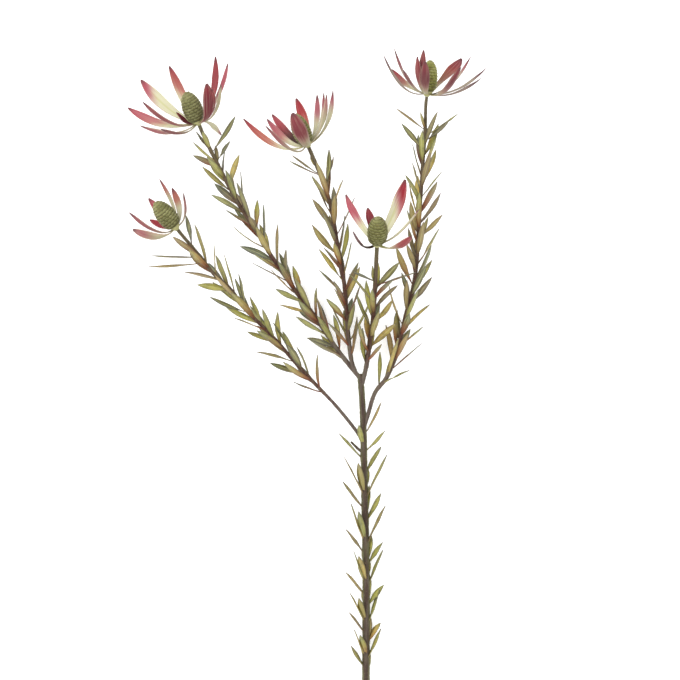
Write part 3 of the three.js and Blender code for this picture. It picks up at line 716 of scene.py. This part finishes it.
def arcLeaf(place, draws, change):
    turn, shortening, lessLean = change
    azimuth = draws["azimuth"] + math.radians(turn)
    outward = place["side"] * math.cos(azimuth) + place["up"] * math.sin(azimuth)
    lean = math.radians(draws["leanAtRoot"] + lessLean)
    bend = math.radians(draws["leanChange"])
    bend = leaf["leastBend"] if abs(bend) < leaf["leastBend"] else bend
    length = draws["length"] * shortening

    def midline(t):
        forward = length * (math.sin(lean + bend * t) - math.sin(lean)) / bend
        out = length * (math.cos(lean) - math.cos(lean + bend * t)) / bend
        out += place["radius"] * leaf["rootShare"]
        point = place["point"] + place["along"] * forward + outward * out
        point[2] = pressedUp(point[2])
        return point
    flatAcross = np.cross(place["along"], outward)
    return bladeOf(leaf, midline, flatAcross, draws["width"], draws["twist"])


def neckLeaf(place, tip, width, degrees):
    outward = squareTo(place["along"], tip - place["point"])
    start = place["point"] + outward * place["radius"] * leaf["rootShare"]
    middle = (start + tip) / 2 + outward * leaf["bow"] * np.linalg.norm(tip - start)

    def midline(t):
        return start * (1 - t) ** 2 + middle * 2 * t * (1 - t) + tip * t * t
    return bladeOf(leaf, midline, np.cross(place["along"], outward), width, degrees)


def bractBlade(base, axis, spec):
    offset, width, steepness, degrees, _, *rest = spec
    reach = rest[0] if rest else bract["reachAtRoot"]
    tip = vec(offset)
    outward = squareTo(axis, tip)
    rise = math.radians(steepness)
    end = base + tip
    start = base + axis * bract["rootHeight"] + outward * bract["rootRadius"]
    length = np.linalg.norm(end - start)
    first = start + (outward * math.cos(rise) + axis * math.sin(rise)) * reach * length
    finish = unit(unit(end - first) * bract["straightness"] + axis * (1 - bract["straightness"]))
    second = end - finish * bract["reachAtTip"] * length

    def midline(t):
        return (start * (1 - t) ** 3 + first * 3 * t * (1 - t) ** 2
                + second * 3 * t * t * (1 - t) + end * t ** 3)
    return bladeOf(bract, midline, np.cross(axis, outward), width, degrees)


# what a leaf keeps clear of: straight pieces with a radius, each of one owner
def bladeChain(blade, owner):
    kind = blade["kind"]
    points = [blade["place"](t) for t in kind["coarse"]]
    halves = [w * blade["width"] / 2 for w in kind["coarseWidths"]] + [0]
    return [(points[k], points[k + 1], max(halves[k], halves[k + 1]), owner)
            for k in range(len(points) - 1)]


def stemChain(name):
    route = Route(stems[name])
    steps = round(route.length / chainStep)
    places = [route.at(route.length * k / steps) for k in range(steps + 1)]
    return [(places[k]["point"], places[k + 1]["point"], places[k]["radius"], name)
            for k in range(steps)]


# the least distance from one straight piece to many others
def distances(a, b, others, ends):
    d1, d2, r = b - a, ends - others, a - others
    aa, e = d1 @ d1, np.einsum("ij,ij->i", d2, d2)
    bb, c, f = d2 @ d1, r @ d1, np.einsum("ij,ij->i", d2, r)
    spread = aa * e - bb * bb
    skew = spread > 1e-9   # two that lie side by side have no one nearest place
    s = np.where(skew, np.clip((bb * f - c * e) / np.where(skew, spread, 1), 0, 1), 0)
    t = np.clip((bb * s + f) / e, 0, 1)
    s = np.clip((bb * t - c) / aa, 0, 1)
    return np.linalg.norm((a + s[:, None] * d1) - (others + t[:, None] * d2), axis=1)


def hasRoom(blade, owner, taken):
    others = [piece for piece in taken if piece[3] != owner]
    starts, ends, radii = (np.array([piece[k] for piece in others]) for k in range(3))
    return all((distances(a, b, starts, ends) > radius + radii + leaf["room"]).all()
               for a, b, radius, _ in bladeChain(blade, owner))


# where each leaf stands on a stem, its azimuth, and the ranges that it draws from
def leafPlaces(stem, length):
    end = length - stem["leafStop"]
    places = []
    s = stem["leafStart"]
    if "leafStep" in stem:
        while s <= end:
            places.append((s, len(places) * goldenAngle, leaf))
            s += stem["leafStep"]
        return places
    height, size = leafGroup["height"], leafGroup["size"]
    while s <= end:
        for azimuth, share, span, lean, twist in leafGroup["places"]:
            places.append((s + share * height, math.radians(azimuth), {
                **leafGroup["draws"],
                "length": around(span * size, leafGroup["lengthSpread"]),
                "leanAtRoot": around(lean, leafGroup["leanSpread"]),
                "twist": around(twist, leafGroup["twistSpread"]),
            }))
        s += height
        height += leafGroup["heightGrowth"]
        size += leafGroup["sizeGrowth"]
    return places


def planLeaves(name, seed, taken):
    stem = stems[name]
    route = Route(stem)
    draw = seededDraw(seed)
    blades = []
    for below, offset, width, degrees in stem["collar"]:
        tip = vec(stem["route"][-1]) + vec(offset)
        blade = neckLeaf(route.at(route.length - below), tip, width, degrees)
        blades.append({**blade, "run": 1 - below / route.length, "neck": "bloom" in stem})
    for s, azimuth, spans in leafPlaces(stem, route.length):
        place = route.at(s)
        scatter = math.radians((draw() - 0.5) * spans["azimuthScatter"])
        draws = {"azimuth": azimuth + scatter}
        for measure in ("length", "width", "leanAtRoot", "leanChange"):
            draws[measure] = mixed(spans[measure], draw())
        twist = mixed(spans["twist"], draw() ** 2)
        twist *= -1 if draw() < spans["twistBack"] else 1
        # leaves at a stem's sides are turned to the viewer more than those in front
        draws["twist"] = twist * mixed(spans["twistShare"], abs(math.cos(draws["azimuth"])))
        for change in leaf["tries"]:
            blade = arcLeaf(place, draws, change)
            if hasRoom(blade, name, taken):
                blades.append({**blade, "run": s / route.length, "neck": False})
                break
    for blade in blades:
        taken += bladeChain(blade, name)
    return blades


def pointsOf(piece):
    flat = np.zeros(len(piece.data.vertices) * 3)
    piece.data.vertices.foreach_get("co", flat)
    return flat.reshape(-1, 3)


def setPoints(piece, points):
    piece.data.vertices.foreach_set("co", points.ravel())


# a copy with a mesh of its own
def copyOf(source, name):
    piece = source.copy()
    piece.data = source.data.copy()
    piece.name = name
    bpy.context.collection.objects.link(piece)
    return piece


def joined(pieces, name):
    deselectAll()
    for piece in pieces:
        piece.select_set(True)
    bpy.context.view_layer.objects.active = pieces[0]
    bpy.ops.object.join()
    whole = bpy.context.object
    whole.name = name
    whole.data.name = name
    return whole


mergeWithin = 1e-5


# points that meet are merged, and all faces are turned outwards
def facedOut():
    toMode("EDIT")
    bpy.ops.mesh.select_all(action="SELECT")
    bpy.ops.mesh.remove_doubles(threshold=mergeWithin)
    bpy.ops.mesh.normals_make_consistent(inside=False)
    toMode("OBJECT")


# what is picked next in a mesh, and nothing is picked so far
def pickBy(kind):
    toMode("EDIT")
    bpy.ops.mesh.select_mode(type=kind)
    bpy.ops.mesh.select_all(action="DESELECT")
    toMode("OBJECT")


# four numbers for each point of a mesh, which the finishes read
def giveAll(piece, values, name="blade"):
    mesh = piece.data
    layer = mesh.color_attributes.new(name, "FLOAT_COLOR", "POINT")
    lanes = np.stack([np.broadcast_to(v, len(mesh.vertices)) for v in values], axis=1)
    layer.data.foreach_set("color", lanes.astype(float).ravel())


def finished(piece, material, node):
    piece.data.materials.clear()
    piece.data.materials.append(material)
    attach(piece, "root")
    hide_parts(node)


# One blade is modelled, and copied for each leaf or bract. Its thickness, lifted edges, ripples
# and sway are shares of its width.

leafBlank = {
    "name": "leafBlank", "columns": 2, "thickness": 0.1, "edgeLift": 0.1, "ripple": 0.07,
    "sway": 0.13, "leastDepth": 6,   # narrow blades are as thick as a wider one
    "rows": [0, 0.07, 0.18, 0.32, 0.48, 0.64, 0.78, 0.89, 0.96, 1],
    "widths": [0.3, 0.4, 0.63, 0.86, 1.0, 0.97, 0.77, 0.45, 0.18, 0.03],
}
bractBlank = {
    "name": "bractBlank", "columns": 6, "thickness": 0.065, "edgeLift": 0.16, "ripple": 0.07,
    "sway": 0.04, "leastDepth": 9,
    "rows": [0, 0.05, 0.1, 0.17, 0.25, 0.34, 0.43, 0.52, 0.6, 0.68, 0.76, 0.83, 0.89, 0.94,
             0.975, 1],
    "widths": [0.46, 0.46, 0.48, 0.52, 0.6, 0.72, 0.84, 0.94, 0.99, 0.99, 0.88, 0.72, 0.53, 0.33,
               0.15, 0.03],
}
blankShape = {"fullness": 0.9, "liftCurve": 1.5}


# A blank lies along +Y from 0 to 1 and is 1 wide. Its rows are set to their places and widths one
# by one.
def makeBlank(blank):
    rows, columns = blank["rows"], blank["columns"]
    piece = added(bpy.ops.mesh.primitive_grid_add, blank["name"], size=1,
                  x_subdivisions=columns, y_subdivisions=len(rows) - 1)
    places = pointsOf(piece)
    order = iter(np.lexsort((places[:, 0], places[:, 1])))   # row by row, from left to right
    for row, width in zip(rows, blank["widths"]):
        for u in np.arange(columns + 1) / columns * 2 - 1:
            across = math.copysign(abs(u) ** blankShape["fullness"], u) * width / 2
            lift = blank["edgeLift"] * width * abs(u) ** blankShape["liftCurve"]
            places[next(order)] = (across, row, lift)
    setPoints(piece, places)
    bpy.ops.object.modifier_add(type="SOLIDIFY")
    wall = piece.modifiers[-1]
    wall.thickness = blank["thickness"]
    wall.offset = -1
    bpy.ops.object.modifier_apply(modifier=wall.name)
    facedOut()
    bpy.ops.object.shade_smooth()
    # the first points are the upper face's, and the rest, which Solidify added, the back's
    side = np.zeros(len(piece.data.vertices))
    side[:len(places)] = 1
    return piece, side, blank


hair = {
    "number": 92, "seed": 5, "from": 0.1, "over": 0.88, "length": (0.5, 1.2), "outward": 0.14,
    "forward": 0.022, "width": 0.009, "flatness": 8, "rise": (-0.3, 0.7),
    "inside": 0.01, "below": 0.03,   # its root is sunk into the margin
    "mark": 1.4,   # its place across the map, off the blade, which tells the finish that it is one
}


# Fine hairs stand out from both margins of a blank and lean towards its tip.
def fringed(source):
    piece, side, blank = source
    first = added(bpy.ops.mesh.primitive_cone_add, "hair", vertices=3, radius1=1, radius2=0,
                  depth=1)
    spike = pointsOf(first)
    draw = seededDraw(hair["seed"])
    hairs = []
    for k in range(hair["number"]):
        t = hair["from"] + hair["over"] * (k + draw()) / hair["number"]
        width = np.interp(t, blank["rows"], blank["widths"])
        long = (spike[:, 2] + 0.5) * mixed(hair["length"], draw())
        away = (width / 2 - hair["inside"] + long * hair["outward"]) * (1 if k % 2 else -1)
        along = t + long * hair["forward"] + spike[:, 0] * hair["width"] / hair["flatness"]
        lift = blank["edgeLift"] * width - hair["below"] + spike[:, 1] * hair["width"]
        lift += long * mixed(hair["rise"], draw()) * hair["outward"]
        one = copyOf(first, "hair")
        setPoints(one, np.stack([away, along, lift], axis=1))
        spots = one.data.uv_layers[0].data
        spots.foreach_set("uv", [hair["mark"], t] * len(spots))
        hairs.append(one)
    bpy.data.objects.remove(first)
    whole = joined([piece, *hairs], blank["name"])
    edges = np.full(len(whole.data.vertices) - len(side), 0.5)
    return whole, np.append(side, edges), blank


bladeLay = {
    "stations": 33, "turnedBy": 0.5, "flatBelow": 1, "ripples": 11, "phases": 20, "phaseStep": 3,
    "clearance": (0.1, 0.6),   # from the floor, for the back and for the inner face
}


# A blade's run: places, directions and directions across it, at the given stations.
def bladeRun(blade, stations):
    midline = np.array([blade["place"](t) for t in stations])
    last = len(stations) - 1
    along = [unit(midline[min(last, k + 1)] - midline[max(0, k - 1)]) for k in range(last + 1)]
    across = []
    for k, direction in enumerate(along):
        base = squareTo(direction, blade["flatAcross"])
        angle = blade["turn"] * min(1, stations[k] / bladeLay["turnedBy"])
        turned = base * math.cos(angle) + np.cross(direction, base) * math.sin(angle)
        height = (midline[k][2] - bladeLay["flatBelow"]) / blade["width"]
        turned[2] *= min(1, max(0, height))   # it lies flatter where it's near the floor
        across.append(squareTo(direction, turned))
    return midline, np.array(along), np.array(across)


# a copy of a blank, bent along a blade's run
def bentCopy(blank, blade, name, given, tint=None):
    source, side, shape = blank
    piece = copyOf(source, name)
    stations = np.linspace(0, 1, bladeLay["stations"])
    midline, along, across = bladeRun(blade, stations)
    flat = pointsOf(piece)
    t = np.clip(flat[:, 1], 0, 1)
    first, second, fourth = given
    # its margins ripple and it sways to one side, each blade by its own amount
    phase = (first + second * bladeLay["phaseStep"]) * bladeLay["phases"]
    ripple = np.sin(t * bladeLay["ripples"] + phase + np.sign(flat[:, 0])) * shape["ripple"]
    flat[:, 2] += ripple * abs(flat[:, 0])
    flat[:, 0] += math.sin(phase) * shape["sway"] * np.sin(t * math.pi)

    def sampled(values):
        return np.stack([np.interp(t, stations, values[:, axis]) for axis in range(3)], axis=1)
    width = blade["width"]
    bent = sampled(midline) + sampled(across) * flat[:, :1] * width
    bent += sampled(np.cross(along, across)) * flat[:, 2:] * max(width, shape["leastDepth"])
    bent[:, 2] = np.maximum(bent[:, 2], mixed(bladeLay["clearance"], side))
    setPoints(piece, bent * mm)
    giveAll(piece, (first, second, side, fourth))
    if tint:
        giveAll(piece, (*tint, 1), "tint")
    return piece


# Stems: a run with a round section, with a small swelling under each leaf.

stemShape = {
    "step": 2.5, "fewestSteps": 3, "resolution": 5, "wobble": 0.05, "smoothAngle": 50,
    "wallCorners": 4, "inset": 0.35, "endShare": 0.02, "lowest": 0.02, "core": 0.3,
    "swelling": 0.45, "swellingReach": 2.4, "swellingBelow": 0.6,
}


def makeStem(stem, roots, name, seed, cutEnds=()):
    route = Route(stem)
    curve = added(bpy.ops.curve.primitive_nurbs_path_add, name).data
    curve.splines.clear()
    curve.dimensions = "3D"
    curve.bevel_depth = mm
    curve.bevel_resolution = stemShape["resolution"]
    curve.use_fill_caps = True
    steps = max(stemShape["fewestSteps"], int(route.length / stemShape["step"]))
    spline = curve.splines.new("POLY")
    spline.points.add(steps)
    draw = seededDraw(seed)
    for k in range(steps + 1):
        place = route.at(route.length * k / steps)
        spline.points[k].co = (*(place["point"] * mm), 1)
        wobble = mixed(around(1, stemShape["wobble"]), draw())
        spline.points[k].radius = place["radius"] * wobble
    bpy.ops.object.convert(target="MESH")
    piece = bpy.context.object
    facedOut()
    # a ring of bark is left round each end face
    pickBy("FACE")
    for face in piece.data.polygons:
        face.select = len(face.vertices) > stemShape["wallCorners"]
    toMode("EDIT")
    bpy.ops.mesh.inset(thickness=stemShape["inset"] * mm, depth=0)
    toMode("OBJECT")
    inner = np.zeros(len(piece.data.vertices), bool)
    for face in piece.data.polygons:
        if len(face.vertices) > stemShape["wallCorners"]:
            inner[list(face.vertices)] = True
    points = pointsOf(piece) / mm
    nearest = np.argmin(np.linalg.norm(points[:, None] - route.points[None], axis=2), axis=1)
    run = route.runs[nearest] / route.length
    along = np.gradient(route.points, axis=0)[nearest]
    along /= np.linalg.norm(along, axis=1)[:, None]
    outward = points - route.points[nearest]
    outward -= along * np.einsum("ij,ij->i", outward, along)[:, None]
    outward /= np.maximum(np.linalg.norm(outward, axis=1), stemShape["core"])[:, None]
    scar = np.zeros(len(points))
    for root, direction in roots:
        below = root - direction * stemShape["swellingBelow"]
        near = np.linalg.norm(points - below, axis=1)
        scar = np.maximum(scar, np.exp(-(near / stemShape["swellingReach"]) ** 2))
    ends = np.array([any(abs(r - end) < stemShape["endShare"] for end in cutEnds) for r in run])
    points += outward * (scar * stemShape["swelling"] * ~inner)[:, None]
    points[:, 2] = np.maximum(points[:, 2], stemShape["lowest"])
    setPoints(piece, points * mm)
    giveAll(piece, (outward[:, 2] * 0.5 + 0.5, run, scar, inner & ends))
    bpy.ops.object.shade_smooth_by_angle(angle=math.radians(stemShape["smoothAngle"]))
    return piece


# an edge chain of heights and radii, spun round +Z
def turnedPiece(profile, sides, name):
    piece = added(bpy.ops.mesh.primitive_grid_add, name, size=1,
                  x_subdivisions=1, y_subdivisions=len(profile) - 1)
    pickBy("VERT")
    for point in piece.data.vertices:
        point.select = point.co.x > 0
    toMode("EDIT")
    bpy.ops.mesh.delete(type="VERT")
    toMode("OBJECT")
    chain = sorted(piece.data.vertices, key=lambda v: v.co.y)
    for point, (height, radius) in zip(chain, profile):
        point.co = (radius * mm, 0, height * mm)
    toMode("EDIT")
    bpy.ops.mesh.select_all(action="SELECT")
    bpy.ops.mesh.spin(steps=sides, angle=math.tau, center=(0, 0, 0), axis=(0, 0, 1))
    toMode("OBJECT")
    facedOut()
    bpy.ops.object.shade_smooth()
    return piece


# a bloom's base, and its directions: to its side, up, and along its axis
def bloomFrame(name):
    axis = unit(vec(blooms[name]["axis"]))
    side = np.cross(squareTo(axis, vec((0, 0, 1))), axis)
    return vec(stems["branch_" + name]["route"][-1]), np.array([side, np.cross(axis, side), axis])


def placedBy(piece, points, base, directions):
    setPoints(piece, (base + points @ directions) * mm)


# Cones: a dark egg, covered in wide scales on one rising spiral.

coneBody = {"stations": 200, "stride": 14, "sides": 24, "inset": 0.9, "topInset": 1}
scaleBlank = {
    "name": "scaleBlank", "columns": 4, "thickness": 0.16, "edgeLift": 0,
    "rows": [0, 0.36, 0.68, 0.88, 1], "widths": [0.9, 1.0, 1.0, 0.86, 0.5],
}
scaleLay = {
    "perTurn": 13.35, "turns": 12, "overlap": 1.14, "lengthInRows": 1.8, "startInRows": 0.55,
    "lengthChange": (0.94, 1.06), "tilt": (-0.06, 0.06), "leastRadius": 1.6, "thickness": 3,
    "sink": 0.55, "tipLift": 1.2, "liftCurve": 1.3, "tiltLift": 4, "crown": 0.15, "topRise": 0.3,
}


def coneProfile(t, girth):
    widest = cone["widestAt"]
    reach = (t - widest) / (cone["footFlare"] if t < widest else 1 - widest)
    radius = girth * cone["radius"] * math.sqrt(max(0, 1 - reach * reach))
    return cone["foot"] + cone["length"] * t, radius


def makeCone(name, blank, seed):
    base, directions = bloomFrame(name)
    stations = np.linspace(0, 1, coneBody["stations"])
    wall = np.array([coneProfile(t, blooms[name]["girth"]) for t in stations])
    heights, radii = wall.T
    runs = runsOf(wall)
    end = runs[-1]
    slopes = np.arctan2(-np.gradient(radii, runs), np.gradient(heights, runs))   # its lean inwards
    inner = [(h, max(0, r - coneBody["inset"])) for h, r in wall[::coneBody["stride"]]]
    profile = [(heights[0], 0), *inner, (heights[-1] - coneBody["topInset"], 0)]
    body = turnedPiece(profile, coneBody["sides"], "coneBody")
    giveAll(body, (0, 0, 0, 0))
    placedBy(body, pointsOf(body) / mm, base, directions)
    pieces = [body]
    source, side, _ = blank
    flat = pointsOf(source)
    draw = seededDraw(seed)
    count = int(scaleLay["perTurn"] * scaleLay["turns"])
    rowLength = end / scaleLay["turns"]
    for i in range(count):
        start = end * (i + 0.5) / count - rowLength * scaleLay["startInRows"]
        length = rowLength * scaleLay["lengthInRows"] * mixed(scaleLay["lengthChange"], draw())
        radius = np.interp(min(max(start + length / 2, 0), end), runs, radii)
        width = math.tau * max(radius, scaleLay["leastRadius"])
        width *= scaleLay["overlap"] / scaleLay["perTurn"]
        tilt = mixed(scaleLay["tilt"], draw())
        # laid on the wall: along it, round it, and out from it
        run = np.clip(start + flat[:, 1] * length, 0, end)
        over = np.maximum(start + flat[:, 1] * length - end, 0)
        h, r, lean = (np.interp(run, runs, values) for values in (heights, radii, slopes))
        lift = scaleLay["tipLift"] + tilt * flat[:, 0] * scaleLay["tiltLift"]
        out = flat[:, 1] ** scaleLay["liftCurve"] * lift - scaleLay["sink"]
        out += (1 - (2 * flat[:, 0]) ** 2) * scaleLay["crown"] + flat[:, 2] * scaleLay["thickness"]
        aside = flat[:, 0] * width + tilt * flat[:, 1] * length
        turn = math.tau * i / scaleLay["perTurn"] + aside / np.maximum(r, scaleLay["leastRadius"])
        away = r + out * np.cos(lean) - over * np.sin(lean)
        up = h + out * np.sin(lean) + over * np.cos(lean) * scaleLay["topRise"]
        piece = copyOf(source, "scale")
        local = np.stack([away * np.cos(turn), away * np.sin(turn), up], axis=1)
        placedBy(piece, local, base, directions)
        giveAll(piece, (draw(), i / count, side, blooms[name]["lime"]))
        pieces.append(piece)
    return joined(pieces, "cone_scales_" + name)


cup = {   # the receptacle, as heights and radii, and its colours as a bract's are given
    "profile": [(0.3, 0), (0.3, 2.3), (1.6, 3.2), (3.4, 5.0), (5.6, 6.0), (6.4, 5.6), (6.4, 0)],
    "sides": 20, "look": (1, 0, 1, 0.15),
}


def makeBracts(name, blank):
    base, directions = bloomFrame(name)
    holder = turnedPiece(cup["profile"], cup["sides"], "cup")
    giveAll(holder, cup["look"])
    giveAll(holder, (0, 0, 0, 0), "tint")
    placedBy(holder, pointsOf(holder) / mm, base, directions)
    pieces = [holder]
    for spec in blooms[name]["bracts"]:
        blade = bractBlade(base, directions[2], spec)
        look = spec[4]
        pieces.append(bentCopy(blank, blade, "bract", look[:3], look[3:]))
    return joined(pieces, "bract_whorl_" + name)


# what the leaves keep clear of: the stems, the bracts and the cones
def placesTaken():
    taken = [piece for name in stems for piece in stemChain(name)]
    for name, bloom in blooms.items():
        base, (_, _, axis) = bloomFrame(name)
        for spec in bloom["bracts"]:
            taken += bladeChain(bractBlade(base, axis, spec), "bracts_" + name)
        low, high = cone["radius"], cone["foot"] + cone["length"] - cone["radius"]
        taken.append((base + axis * low, base + axis * high, cone["radius"] + cone["relief"],
                      "cone_" + name))
    return taken


# How flushed, brown and yellow the leaves are. A flush fades from a stem's foot to its head.
leafTints = {
    "flush": (1.05, 0.45), "flushCurve": 1.4, "brownCurve": 3, "neckBrown": 0.15, "hue": (0, 1),
    "mainFlush": 0.5, "mainHue": (0.45, 0.95),
}
seeds = {"stem": 11, "stemStep": 12, "tints": 5, "bark": 3, "twig": 4, "cone": 301, "coneStep": 20}


def leafTint(blade, onMain, draw):
    flush = draw() ** leafTints["flushCurve"] * mixed(leafTints["flush"], blade["run"])
    flush *= leafTints["mainFlush"] if onMain else 1
    brown = draw() ** leafTints["brownCurve"] + (leafTints["neckBrown"] if blade["neck"] else 0)
    hue = mixed(leafTints["mainHue" if onMain else "hue"], draw())
    return hue, min(1, flush), min(1, brown)


# The whole stem.

makeStudio()
print("studio ready")

leafPaint, bractPaint, conePaint = leafFinish(), bractFinish(), coneFinish()
mainBark, twigBark = barkFinish("mainBark"), barkFinish("twigBark")
print("finishes ready")

leafSource, scaleSource = makeBlank(leafBlank), makeBlank(scaleBlank)
bractSource = fringed(makeBlank(bractBlank))
print("blanks modelled")

for number, name in enumerate(blooms):
    finished(makeBracts(name, bractSource), bractPaint, "bracts_" + name)
    coneSeed = seeds["cone"] + number * seeds["coneStep"]
    finished(makeCone(name, scaleSource, coneSeed), conePaint, "cone_" + name)
    print("bloom made:", name)

taken = placesTaken()
for number, (name, stem) in enumerate(stems.items()):
    seed = seeds["stem"] + number * seeds["stemStep"]
    onMain = name == "main_stem"
    blades = planLeaves(name, seed, taken)
    draw = seededDraw(seed + seeds["tints"])
    leaves = [bentCopy(leafSource, blade, "leaf", leafTint(blade, onMain, draw))
              for blade in blades]
    finished(joined(leaves, "leaves_" + name), leafPaint, name)
    roots = [(blade["place"](0), unit(blade["place"](0.1) - blade["place"](0)))
             for blade in blades]
    bark = makeStem(stem, roots, "bark_" + name, seed + seeds["bark"], (0, 1) if onMain else ())
    if onMain:
        clipped = makeStem(twig, [], "clipped_twig", seed + seeds["twig"], (1,))
        bark = joined([bark, clipped], "bark_" + name)
    finished(bark, mainBark if onMain else twigBark, name)
    print("stem made:", name, "with leaves:", len(leaves))

for source, *_ in (leafSource, bractSource, scaleSource):
    bpy.data.objects.remove(source)
